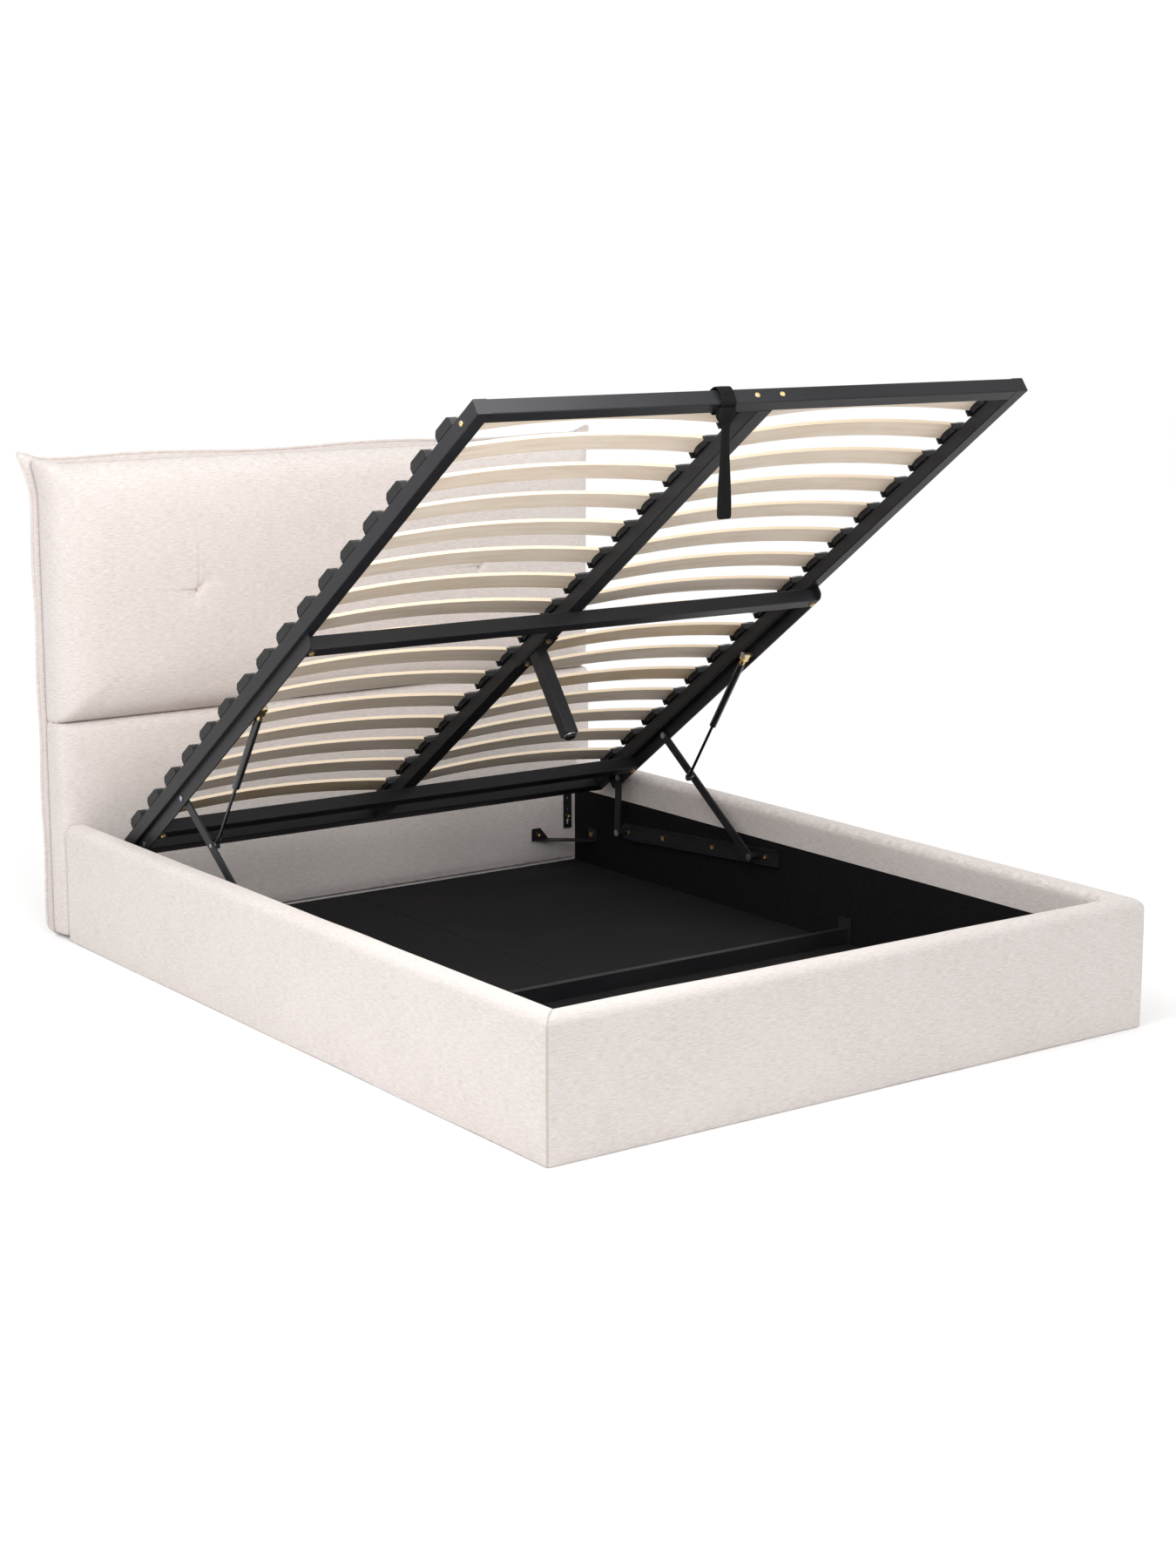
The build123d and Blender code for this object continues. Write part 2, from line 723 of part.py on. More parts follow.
def bracket_bolt_holes():
    drill = Cylinder(bolt_hole_radius, bolt_bite + overrun, align=(Align.CENTER, Align.CENTER, Align.MAX))
    return list(bracket_bolt_rows(drill))


# Gas struts
def along_strut(start):
    step = (open_stud - open_strut) / strut_length
    spot = open_strut + step * start
    return Plane(origin=(strut_x, spot.real, spot.imag), x_dir=(1, 0, 0), z_dir=(0, step.real, step.imag))


def strut_round(radius, span):
    solid = Cylinder(radius, span[1] - span[0], align=(Align.CENTER, Align.CENTER, Align.MIN))
    return along_strut(span[0]) * solid


def write_struts():
    inside = cylinder_radius - cylinder_wall
    cylinder = strut_round(cylinder_radius, (cylinder_start, cylinder_end))
    cylinder -= strut_round(inside, (cylinder_start + cylinder_plug, cylinder_end - cylinder_plug))
    cylinder -= strut_round(rod_radius + rod_clearance, (cylinder_end - cylinder_plug - overrun,
                                                         cylinder_end + overrun))
    eye_span = (strut_x - clevis_width / 2, strut_x + clevis_width / 2)
    clevis = cylinder_x(eye_radius, eye_span, open_strut)
    shank = Box(clevis_width, eye_radius + eye_radius, cylinder_start - clevis_socket_length,
                align=(Align.CENTER, Align.CENTER, Align.MIN))
    clevis += along_strut(0) * shank
    clevis += strut_round(clevis_socket_radius, (cylinder_start - clevis_socket_length, cylinder_start))
    clevis -= cylinder_x(pin_radius + pin_clearance, (eye_span[0] - overrun, eye_span[1] + overrun), open_strut)
    rod = strut_round(rod_radius, (rod_start, rod_end))
    rod += strut_round(piston_radius, (rod_start, rod_start + piston_length))
    eye_half = eye_thickness / 2
    eye = cylinder_x(eye_radius, (strut_x - eye_half, strut_x + eye_half), open_stud)
    eye += strut_round(eye_socket_radius, (strut_length - eye_socket_length, strut_length - pin_radius))
    eye -= strut_round(rod_radius, (rod_start, rod_end))
    for name, solid in (("strut_cylinder", cylinder), ("strut_rod", rod)):
        write(name + "_right", solid)
        write(name + "_left", other_side(solid))
    write("strut_clevises", group([clevis, other_side(clevis)]))
    write("strut_eyes", group([eye, other_side(eye)]))


# Pull strap
def write_strap():
    """Webbing tied round the foot bar, with its tail hanging straight down."""
    gap = strap_wrap_gap + strap_thickness
    around = RectangleRounded(rail_size + gap + gap, rail_size + gap + gap, rail_corner + gap)
    around -= RectangleRounded(rail_size + strap_wrap_gap + strap_wrap_gap,
                               rail_size + strap_wrap_gap + strap_wrap_gap, rail_corner + strap_wrap_gap)
    middle = Pos(rail_size / 2 - platform_length, rail_size / 2)
    loop = on_platform(Pos(-strap_offset, 0, 0) * side_view(middle * around, (-strap_width / 2, strap_width / 2)))
    knot_drop = gap + strap_swing_gap + strap_knot_radius
    swing = open_head + turned(along(platform_length - rail_size / 2, knot_drop), -open_tilt)
    knot = cylinder_x(strap_knot_radius, (-strap_width / 2, strap_width / 2), complex(0, 0))
    knot += block((-strap_width / 2, strap_width / 2), (-strap_knot_radius, strap_knot_radius),
                  (-strap_knot_height, 0))
    tail = block((-strap_tail_width / 2, strap_tail_width / 2), (-strap_thickness, strap_thickness),
                 (-strap_hang, -strap_knot_height))
    write("strap_loop", loop)
    write("strap_tail", Pos(-strap_offset, swing.real, swing.imag) * (knot + tail))


# Wire retainers that keep the mattress from sliding to the headboard
def retainer():
    half = retainer_width / 2
    top = rail_size + retainer_height
    low = rail_size + retainer_wire / 2
    path = FilletPolyline((-half, -retainer_foot_length, low), (-half, 0, low), (-half, 0, top),
                          (half, 0, top), (half, 0, low), (half, -retainer_foot_length, low),
                          radius=retainer_corner)
    return path


def write_retainers():
    hoops = []
    for place in retainer_places:
        path = retainer()
        start = Plane(origin=path @ 0, z_dir=path % 0)
        hoop = sweep(start * RegularPolygon(retainer_wire / 2, retainer_sides), path=path)
        hoops.append(on_platform(Pos(place, -rail_size / 2, 0) * hoop))
    write("mattress_retainers", group(hoops))


# Steel at the corners of the base
def connector():
    """Perforated plate on the headboard, beside the side board."""
    middle = inner_half - connector_side_gap - connector_width / 2
    plate = Pos(middle, connector_bottom + connector_height / 2) * Rectangle(connector_width, connector_height)
    for height in connector_hole_heights:
        plate -= Pos(middle, height) * Circle(connector_hole_radius)
    plate -= Pos(middle, connector_bolt_height) * Circle(bolt_hole_radius)
    slot = Pos(middle, keyhole_height - keyhole_drop / 2) * Rectangle(keyhole_slot_radius * 2, keyhole_drop)
    plate -= Pos(middle, keyhole_height) * Circle(keyhole_radius) + slot
    return extrude(upright(-connector_thickness) * plate, -connector_thickness)


def corner_brace():
    """Flat strip across a corner with an upright tab at each end."""
    head = (inner_half - brace_head_start, inner_half - brace_head_end)
    side = (head_face - brace_side_start, head_face - brace_side_end)
    plan = make_face(Polyline((head[0], head_face), (inner_half, side[0]), (inner_half, side[1]),
                              (head[1], head_face), close=True))
    strip = Pos(0, 0, brace_bottom) * extrude(plan, brace_thickness, dir=(0, 0, 1))
    top = brace_bottom + brace_tab_height
    shape = Polyline((head[1], brace_bottom), (head[0], brace_bottom), (head[0], brace_bottom + brace_thickness),
                     (head[1] + brace_tab_top, top), (head[1], top), close=True)
    head_tab = extrude(upright(-brace_thickness) * make_face(shape), -brace_thickness)
    side_tab = block((inner_half - brace_thickness, inner_half), (side[1], side[0]), (brace_bottom, top))
    return strip + head_tab + side_tab


def write_corner_hardware():
    """Plates and braces at the head corners; returns the bolts of the right side."""
    into_head = Rot(90, 0, 0)
    into_side = Rot(0, -90, 0)
    plate_bolt = Pos(inner_half - connector_side_gap - connector_width / 2, head_face - connector_thickness,
                     connector_bolt_height) * into_head
    head_bolt = Pos(inner_half - brace_head_bolt, head_face - brace_thickness, brace_bolt_height) * into_head
    side_bolt = Pos(inner_half - brace_thickness, head_face - brace_side_bolt, brace_bolt_height) * into_side
    plate = connector()
    brace = corner_brace()
    drill = Cylinder(bolt_hole_radius, brace_tab_height)
    brace -= head_bolt * drill
    brace -= side_bolt * drill
    write("corner_plates", group([plate, other_side(plate)]))
    write("corner_braces", group([brace, other_side(brace)]))
    return [plate_bolt * hex_bolt(connector_thickness), head_bolt * hex_bolt(brace_thickness),
            side_bolt * hex_bolt(brace_thickness)]


# Headboard
def upright(depth):
    """Upright plane across the bed, a distance behind the front of the headboard."""
    return Plane(origin=(0, head_face + depth, 0), x_dir=(1, 0, 0), z_dir=(0, -1, 0))


def pad(bottom, top, depths, insets, radius):
    """Padded block lofted from back to front through rounded sections."""
    sections = []
    for depth, inset in zip(depths, insets):
        width = 2 * (headboard_half_width - inset)
        height = top - bottom - inset - inset
        middle = Pos(0, (top + bottom) / 2)
        sections.append(upright(depth) * middle * RectangleRounded(width, height, radius))
    return loft(sections, ruled=True)


def headboard_core(fit):
    """The wooden board inside the pads, or with a fit the recess that it takes in them."""
    width = 2 * (headboard_half_width - headboard_board_inset + fit)
    low = headboard_bottom + headboard_board_inset - fit
    height = headboard_height - headboard_board_inset + fit - low
    profile = Pos(0, low + height / 2) * RectangleRounded(width, height, lower_pad_radius)
    back = headboard_depth - back_cover_thickness + fit
    return extrude(upright(back) * profile, headboard_board_thickness + fit + fit)


def back_outline():
    """Silhouette of the back cover: a flat hem all round with an ear at each top corner."""
    half = headboard_half_width + hem_width
    corner = lower_pad_radius
    tip_low = (half + ear_reach, headboard_height + ear_tip_rise)
    tip_top = (half + ear_reach - ear_tip_width, headboard_height + ear_rise)
    side = Line((half, corner), (half, headboard_height - ear_length))
    flare = SagittaArc(side @ 1, tip_low, -ear_sag)
    tip = Line(tip_low, tip_top)
    shoulder = SagittaArc(tip_top, (half - ear_length / 2, headboard_height), -ear_sag / 2)
    round_corner = RadiusArc((half - corner, 0), (half, corner), -corner)
    right = [round_corner, side, flare, tip, shoulder]
    left = [mirror(edge, about=Plane.YZ) for edge in right]
    top = SagittaArc(shoulder @ 1, (ear_length / 2 - half, headboard_height), -top_sag)
    base = Line((corner - half, 0), (half - corner, 0))
    return make_face(right + left + [top, base])


def tuft_dimple():
    """Hollow that a tuft draws into the cushion, with a flat seat for its button."""
    seat = button_radius + button_gap
    waist = (tuft_radius * tuft_waist_share, -tuft_depth * tuft_shoulder_share)
    bowl = ThreePointArc((seat, -tuft_depth), waist, (tuft_radius, 0))
    rim = Polyline((tuft_radius, 0), (tuft_radius, overrun), (0, overrun), (0, -tuft_depth), (seat, -tuft_depth))
    return revolve(Plane.XZ * make_face([bowl, rim]), Axis.Z)


def write_headboard():
    back = headboard_depth - back_cover_thickness
    core = headboard_core(0)
    recess = headboard_core(board_fit)
    full_depth = back + cushion_proud
    cushion_depths = [back - share * full_depth for share in cushion_depth_shares]
    cushion_insets = [share * cushion_edge for share in cushion_inset_shares]
    cushion = pad(crease_height + crease_gap / 2, headboard_height, cushion_depths, cushion_insets, cushion_corner)
    pad_depths = [back - share * back for share in pad_depth_shares]
    pad_insets = [share * pad_edge for share in pad_inset_shares]
    lower = pad(headboard_bottom, crease_height - crease_gap / 2, pad_depths, pad_insets, lower_pad_radius)
    front = head_face - cushion_proud
    buttons = []
    for place in (-tuft_spacing, 0, tuft_spacing):
        spot = Pos(place, front, tuft_height) * Rot(90, 0, 0)
        cushion -= spot * tuft_dimple()
        button = Cylinder(button_radius, button_thickness, align=(Align.CENTER, Align.CENTER, Align.MIN))
        buttons.append(spot * Pos(0, 0, -tuft_depth) * button)
    write("headboard_board", core)
    write("headboard_cushion", cushion - recess)
    write("headboard_lower_pad", lower - recess)
    write("tuft_buttons", group(buttons))
    cover = extrude(upright(headboard_depth) * back_outline(), back_cover_thickness, dir=(0, -1, 0))
    write("headboard_back_cover", cover)


os.makedirs("parts", exist_ok=True)
write_boards()
write_floor()
write_platform_frame()
write_lift_brackets()
write_slats()
write("platform_bolts", group(write_platform_fasteners() + write_centre_leg()))
write_links()
base_bolts = write_base_brackets() + write_corner_hardware()
write("base_bolts", group(base_bolts + [other_side(bolt) for bolt in base_bolts]))
write_struts()
write_strap()
write_retainers()
write_headboard()
print("strut length", round(strut_length, 1), "closed", round(abs(closed_stud - closed_strut), 1))
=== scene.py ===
from math import cos, exp, hypot, pi, radians, sin, sqrt
import bmesh
import bpy
from mathutils import Matrix, Vector


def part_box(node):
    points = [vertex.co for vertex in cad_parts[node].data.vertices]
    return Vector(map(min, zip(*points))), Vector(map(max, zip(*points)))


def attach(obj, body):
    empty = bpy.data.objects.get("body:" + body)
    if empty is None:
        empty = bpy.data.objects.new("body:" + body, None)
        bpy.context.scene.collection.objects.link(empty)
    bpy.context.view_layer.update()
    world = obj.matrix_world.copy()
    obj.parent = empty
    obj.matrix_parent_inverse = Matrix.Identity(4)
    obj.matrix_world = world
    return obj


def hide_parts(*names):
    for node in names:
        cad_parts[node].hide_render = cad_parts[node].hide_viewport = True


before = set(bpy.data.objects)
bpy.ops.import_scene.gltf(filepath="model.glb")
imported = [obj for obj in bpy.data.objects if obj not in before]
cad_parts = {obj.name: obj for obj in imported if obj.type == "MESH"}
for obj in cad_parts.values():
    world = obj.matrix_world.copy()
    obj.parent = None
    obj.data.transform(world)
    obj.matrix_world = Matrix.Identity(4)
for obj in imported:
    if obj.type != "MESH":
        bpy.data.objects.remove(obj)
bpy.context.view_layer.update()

# Ottoman bed with its slatted platform lifted open, dressed over the CAD frame.
# Metres, X across the bed, +Y to the headboard, +Z up.

# The platform, for the slats' grain and the strap's place
open_tilt = radians(36)
tube = 0.035
slat_pitch = 0.1176
slat_start = 0.133
slat_rise = 0.026
slat_middle = 0.3715
slat_half = 0.3695

# Cloth of the covers; its thickness is also how near an edge has to lie to be taken for an outer one
cloth = 0.002

# How squarely a face has to look along an axis or down, an edge to run along an axis, and a pad's face
# to look to the front, to be taken for one that does
squarely = 0.9
downwards = 0.99
straight = 0.999
front_facing = 0.5

# Shifts of the weave, so that no two pieces show the same stretch of it
cushion_shift = 5
lower_shift = 9
back_shift = 13
button_shift = 17

# Where the cloth goes on round the headboard's sides
side_start = 0.7
side_reach = 0.1

# Top corners of the headboard, drawn out into ears
ear_reach = 0.034
ear_rise = 0.022
ear_length = 0.096


def corners(node):
    low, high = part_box(node)
    return Vector(low), Vector(high)


rail_low, rail_high = corners("side_rail_right")
head_place = Vector((0, rail_high.y - tube * sin(open_tilt), rail_low.z))
platform_turn = Matrix.Translation(head_place) @ Matrix.Rotation(-open_tilt, 4, "X")
platform_length = (rail_high.z - tube * cos(open_tilt) - rail_low.z) / sin(open_tilt)


def eased(share):
    """A share from 0 to 1, slow at both ends and held beyond them."""
    share = min(max(share, 0.0), 1.0)
    return share * share * (3 - 2 * share)


def bell(distance, width):
    return exp(-(distance / width) ** 2)


def fading(distance, width):
    return exp(-distance / width)


# Shader maths
class Value:
    """A number or colour that changes over a surface; sums on it add Math nodes."""

    def __init__(self, finish, socket):
        self.finish = finish
        self.socket = socket

    def __add__(self, other):
        return self.finish.maths("ADD", self, other)

    def __sub__(self, other):
        return self.finish.maths("SUBTRACT", self, other)

    def __rsub__(self, other):
        return self.finish.maths("SUBTRACT", other, self)

    def __mul__(self, other):
        return self.finish.maths("MULTIPLY", self, other)

    def __truediv__(self, other):
        return self.finish.maths("DIVIDE", self, other)

    def __abs__(self):
        return self.finish.maths("ABSOLUTE", self)


class Finish:
    """One material; its constants go straight onto the shader's sockets."""

    def __init__(self, name, **constants):
        self.material = bpy.data.materials.new(name + "_finish")
        self.material.use_nodes = True
        self.name = name
        self.tree = self.material.node_tree
        self.shader = self.tree.nodes["Principled BSDF"]
        for socket, value in constants.items():
            self.shader.inputs[socket.replace("_", " ")].default_value = value

    def node(self, kind, settings, inputs, output=0):
        """Adds a node, sets it, feeds its sockets with numbers or other values, and gives one output."""
        node = self.tree.nodes.new(kind)
        for name, setting in settings.items():
            setattr(node, name, setting)
        for name, value in inputs.items():
            if isinstance(value, Value):
                self.tree.links.new(value.socket, node.inputs[name])
            else:
                node.inputs[name].default_value = value
        return Value(self, node.outputs[output])

    def maths(self, operation, first, second=0.0):
        return self.node("ShaderNodeMath", {"operation": operation}, {0: first, 1: second})

    def waves(self, value, pitch):
        return self.maths("SINE", value * (2 * pi / pitch))

    def place(self):
        """Where a point lies in the frame."""
        return self.node("ShaderNodeTexCoord", {}, {}, "Object")

    def kept(self, name, output):
        """What the mesh keeps for each point under a name."""
        return self.node("ShaderNodeAttribute", {"attribute_name": name}, {}, output)

    def joined(self, x, y, z=0.0):
        return self.node("ShaderNodeCombineXYZ", {}, {0: x, 1: y, 2: z})

    def parts(self, place):
        return [self.node("ShaderNodeSeparateXYZ", {}, {0: place}, axis) for axis in "XYZ"]

    def noise(self, place, scale, detail=3.0, roughness=0.5):
        sockets = {"Vector": place, "Scale": scale, "Detail": detail, "Roughness": roughness}
        return self.node("ShaderNodeTexNoise", {}, sockets)

    def stretched_noise(self, place, scales, detail=3.0, roughness=0.5):
        """Noise with a scale of its own along each axis."""
        scaled = self.node("ShaderNodeMapping", {}, {"Vector": place, "Scale": scales})
        return self.noise(scaled, 1.0, detail, roughness)

    def cells(self, place, scale):
        return self.node("ShaderNodeTexVoronoi", {}, {"Vector": place, "Scale": scale}, "Distance")

    def span(self, value, low, high, start=0.0, end=1.0):
        """A value's stretch from low to high brought to start and end, and held there."""
        sockets = {"Value": value, "From Min": low, "From Max": high, "To Min": start, "To Max": end}
        return self.node("ShaderNodeMapRange", {}, sockets)

    def mixed(self, share, first, second):
        """A mix of two colours; those given as numbers are opaque."""
        first, second = [colour if isinstance(colour, Value) else (*colour, 1) for colour in (first, second)]
        settings = {"data_type": "RGBA", "clamp_factor": True}
        return self.node("ShaderNodeMix", settings, {0: share, 6: first, 7: second}, 2)

    def set(self, **surface):
        for socket, value in surface.items():
            self.tree.links.new(value.socket, self.shader.inputs[socket.replace("_", " ")])

    def bump(self, height, distance, strength=1.0):
        sockets = {"Height": height, "Distance": distance, "Strength": strength}
        self.set(Normal=self.node("ShaderNodeBump", {}, sockets))


def linen_finish():
    """Cream cotton and linen weave with slubs of a darker thread, and painted shade along the corner seams.
    """
    weft_pitch = 0.0012
    warp_pitch = 0.0014
    cream = (0.695, 0.643, 0.624)
    slub = (0.500, 0.447, 0.408)
    warp_white = (0.80, 0.76, 0.73)
    streak = (0.520, 0.466, 0.415)
    fleck = (0.42, 0.345, 0.28)
    cloud = (0.760, 0.700, 0.685)
    seam_shade_colour = (0.36, 0.30, 0.25)
    finish = Finish("linen", Roughness=0.92, Sheen_Weight=0.12, Sheen_Roughness=0.6, Specular_IOR_Level=0.2)
    place = finish.kept("cloth", "Vector")
    slubs = finish.stretched_noise(place, (55, 620, 1), 4.0, 0.6)
    streaks = finish.stretched_noise(place, (24, 230, 1), 4.0, 0.62)
    warp = finish.stretched_noise(place, (1000, 110, 1), 3.0, 0.55)
    clouding = finish.noise(place, 5.0, 3.0, 0.6)
    flecks = finish.span(finish.stretched_noise(place, (160, 420, 1), 2.0), 0.66, 0.74)
    base = finish.mixed(finish.span(slubs, 0.42, 0.72), cream, slub)
    base = finish.mixed(finish.span(warp, 0.5, 0.75) * 0.35, base, warp_white)
    base = finish.mixed(finish.span(streaks, 0.46, 0.66) * 0.42, base, streak)
    base = finish.mixed(flecks * 0.40, base, fleck)
    base = finish.mixed(finish.span(clouding, 0.35, 0.65) * 0.18, base, cloud)
    # Painted shade along the corner seams: a darker beige line where the seam's groove would lie in shadow
    seam_shade = finish.kept("seam", "Fac")
    finish.set(Base_Color=finish.mixed(seam_shade * 0.55, base, seam_shade_colour))
    along, across, _ = finish.parts(place)
    weave = finish.waves(across, weft_pitch) * finish.waves(along, warp_pitch)
    finish.bump(weave * 0.25 + slubs * 1.6 + warp * 0.8, 0.00035, 0.8)
    return finish


def lining_finish():
    """Black non-woven cloth, pressed with a fine dot pattern."""
    dark = (0.0048, 0.0050, 0.0062)
    light = (0.0100, 0.0102, 0.0118)
    finish = Finish("lining", Roughness=0.95, Specular_IOR_Level=0.12)
    place = finish.place()
    fibres = finish.stretched_noise(place, (260, 120, 260), 4.0, 0.7)
    finish.set(Base_Color=finish.mixed(finish.span(fibres, 0.4, 0.7), dark, light))
    swell = finish.noise(place, 7.0, 2.0)
    finish.bump(finish.cells(place, 420.0) * 0.4 + fibres * 0.6 + swell * 3.0, 0.0005, 0.6)
    return finish


def floor_finish():
    """Black cloth over the floor panels, with brushed fibres and faint scuffs."""
    dark = (0.0056, 0.0055, 0.0064)
    light = (0.0150, 0.0140, 0.0148)
    scuffed = (0.021, 0.0192, 0.0198)
    finish = Finish("floor", Specular_IOR_Level=0.16)
    place = finish.place()
    fibres = finish.stretched_noise(place, (55, 420, 420), 5.0, 0.7)
    scuffs = finish.stretched_noise(place, (2.4, 3.4, 3), 5.0, 0.65)
    base = finish.mixed(finish.span(fibres, 0.35, 0.7), dark, light)
    base = finish.mixed(finish.span(scuffs, 0.5, 0.72) * 0.5, base, scuffed)
    finish.set(Base_Color=base, Roughness=finish.span(fibres, 0.3, 0.7, 0.80, 0.95))
    finish.bump(fibres, 0.0004, 0.6)
    return finish


def board_finish():
    """Plain board under the upholstery."""
    brown = (0.36, 0.25, 0.15)
    tan = (0.56, 0.42, 0.28)
    finish = Finish("board", Roughness=0.8)
    chips = finish.stretched_noise(finish.place(), (90, 30, 90), 5.0, 0.7)
    finish.set(Base_Color=finish.mixed(chips, brown, tan))
    finish.bump(chips, 0.0006, 0.5)
    return finish


def steel_finish():
    """Satin black powder coat with a fine texture, rubbed a little lighter in places."""
    black = (0.0100, 0.0104, 0.0122)
    rubbed = (0.0160, 0.0163, 0.0182)
    finish = Finish("frame_steel", Specular_IOR_Level=0.27)
    place = finish.place()
    grain = finish.noise(place, 900.0, 2.0, 0.6)
    wear = finish.stretched_noise(place, (3, 8, 8), 4.0, 0.6)
    finish.set(Base_Color=finish.mixed(finish.span(wear, 0.35, 0.7), black, rubbed),
               Roughness=finish.span(wear, 0.3, 0.7, 0.40, 0.52))
    finish.bump(grain, 0.00012, 0.35)
    return finish


def zinc_finish():
    """Bright zinc on rivets and plates."""
    dull = (0.30, 0.31, 0.33)
    bright = (0.50, 0.50, 0.50)
    finish = Finish("zinc", Metallic=1.0)
    place = finish.place()
    finish.set(Base_Color=finish.mixed(finish.cells(place, 260.0), dull, bright),
               Roughness=finish.span(finish.noise(place, 180.0), 0.3, 0.7, 0.26, 0.42))
    return finish


def yellow_zinc_finish():
    """Yellow passivated zinc, a little iridescent."""
    yellow = (0.84, 0.66, 0.36)
    amber = (0.70, 0.46, 0.22)
    green = (0.60, 0.58, 0.30)
    finish = Finish("yellow_zinc", Metallic=1.0)
    place = finish.place()
    tarnish = finish.noise(place, 120.0, 3.0)
    tint = finish.span(finish.noise(place, 60.0), 0.5, 0.7) * 0.5
    base = finish.mixed(finish.span(tarnish, 0.35, 0.65), yellow, amber)
    finish.set(Base_Color=finish.mixed(tint, base, green),
               Roughness=finish.span(tarnish, 0.3, 0.7, 0.24, 0.40))
    return finish


def slat_coordinates(finish):
    """Along the slat, along the platform from its head end, and up from the slat's underside."""
    across, deep, high = finish.parts(finish.place())
    deep = deep - head_place.y
    high = high - head_place.z
    down = (high * sin(open_tilt)) - (deep * cos(open_tilt))
    up = (high * cos(open_tilt)) + (deep * sin(open_tilt))
    from_middle = (abs(across) - slat_middle) / slat_half
    bow = slat_rise - (from_middle * from_middle) * slat_rise
    return across, down, up - bow


def slat_finish():
    """Rotary-cut birch ply: cloudy figure on the faces and thin plies at the edges."""
    ply_thickness = 0.0009
    glue_line = 0.0002
    glue_end = 0.0008
    white = (0.86, 0.740, 0.615)
    cream = (0.800, 0.660, 0.515)
    golden = (0.76, 0.575, 0.360)
    brown = (0.64, 0.500, 0.365)
    milky = (0.89, 0.80, 0.70)
    glue = (0.64, 0.50, 0.35)
    ply = (0.84, 0.72, 0.56)
    finish = Finish("slat", Specular_IOR_Level=0.35)
    across, down, up = slat_coordinates(finish)
    number = finish.maths("FLOOR", (down - (slat_start - slat_pitch / 2)) / slat_pitch)
    side = finish.maths("SIGN", across)
    own = finish.joined(number * 1.37, side * 2.1)
    tone = finish.node("ShaderNodeTexWhiteNoise", {}, {"Vector": own}, "Value")
    grain = finish.noise(finish.joined(across * 5, down * 70, number + side * 30), 1.0, 5.0, 0.62)
    cloud = finish.noise(finish.joined(across * 9, down * 22, number * 3 + side * 40), 1.0, 3.0, 0.5)
    face = finish.mixed(tone, white, cream)
    face = finish.mixed(finish.span(tone, 0.78, 0.90), face, golden)
    face = finish.mixed(finish.span(grain, 0.42, 0.68) * 0.55, face, brown)
    face = finish.mixed(finish.span(cloud, 0.45, 0.75) * 0.45, face, milky)
    plies = finish.span(finish.maths("PINGPONG", up, ply_thickness), glue_line, glue_end)
    facing = finish.parts(finish.node("ShaderNodeNewGeometry", {}, {}, "True Normal"))
    edge_side = (facing[2] * sin(open_tilt)) - (facing[1] * cos(open_tilt))
    edge = finish.span(abs(edge_side), 0.6, 0.8)
    finish.set(Base_Color=finish.mixed(edge, face, finish.mixed(plies, glue, ply)),
               Roughness=finish.span(grain, 0.3, 0.7, 0.48, 0.62))
    finish.bump(grain, 0.0003, 0.35)
    return finish


def cap_finish():
    """Black moulded plastic with a soft grain."""
    dark = (0.0070, 0.0072, 0.0080)
    light = (0.0125, 0.0127, 0.0135)
    finish = Finish("cap", Specular_IOR_Level=0.3)
    place = finish.place()
    grain = finish.noise(place, 500.0, 3.0, 0.6)
    finish.set(Base_Color=finish.mixed(finish.span(finish.noise(place, 14.0), 0.35, 0.7), dark, light),
               Roughness=finish.span(grain, 0.3, 0.7, 0.42, 0.60))
    finish.bump(grain, 0.0002, 0.4)
    return finish


def webbing_finish():
    """Black woven strap with ribs along it."""
    rib_pitch = 0.0021
    pick_pitch = 0.0016
    dark = (0.0030, 0.0030, 0.0034)
    light = (0.0090, 0.0090, 0.0096)
    finish = Finish("webbing", Roughness=0.9, Specular_IOR_Level=0.12)
    along, across, _ = finish.parts(finish.kept("cloth", "Vector"))
    ribs = finish.waves(across, rib_pitch)
    picks = finish.waves(along, pick_pitch)
    lint = finish.noise(finish.place(), 420.0, 4.0, 0.6)
    finish.set(Base_Color=finish.mixed(finish.span(lint, 0.35, 0.75), dark, light))
    finish.bump(ribs * 0.5 + (picks * ribs) * 0.4 + lint, 0.0005, 0.8)
    return finish


def strut_finish():
    """Glossy black paint on the gas cylinders."""
    clean = (0.0060, 0.0060, 0.0070)
    dusty = (0.0130, 0.0130, 0.0140)
    finish = Finish("strut_black", Coat_Weight=0.4, Coat_Roughness=0.15)
    dust = finish.noise(finish.place(), 90.0, 4.0, 0.6)
    finish.set(Base_Color=finish.mixed(dust, clean, dusty),
               Roughness=finish.span(dust, 0.3, 0.7, 0.26, 0.38))
    return finish


def rod_finish():
    """Hard-chromed rod, dark with grease."""
    greasy = (0.030, 0.030, 0.033)
    wiped = (0.095, 0.095, 0.10)
    finish = Finish("rod", Metallic=1.0)
    grease = finish.stretched_noise(finish.place(), (40, 9, 9))
    finish.set(Base_Color=finish.mixed(grease, greasy, wiped),
               Roughness=finish.span(grease, 0.3, 0.7, 0.16, 0.30))
    return finish


finishes = {finish.name: finish.material for finish in (
    linen_finish(), lining_finish(), floor_finish(), board_finish(), steel_finish(), zinc_finish(),
    yellow_zinc_finish(), slat_finish(), cap_finish(), webbing_finish(), strut_finish(), rod_finish())}

# CAD nodes keep their slot's name on their own material; each gets the finish of that slot
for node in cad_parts.values():
    for slot in node.material_slots:
        slot.material = finishes[slot.material.name.split(".")[0]]


# Modelling by hand
def edit_mode():
    bpy.ops.object.mode_set(mode="EDIT")


def object_mode():
    bpy.ops.object.mode_set(mode="OBJECT")


def take_up(piece):
    bpy.ops.object.select_all(action="DESELECT")
    piece.select_set(True)
    bpy.context.view_layer.objects.active = piece


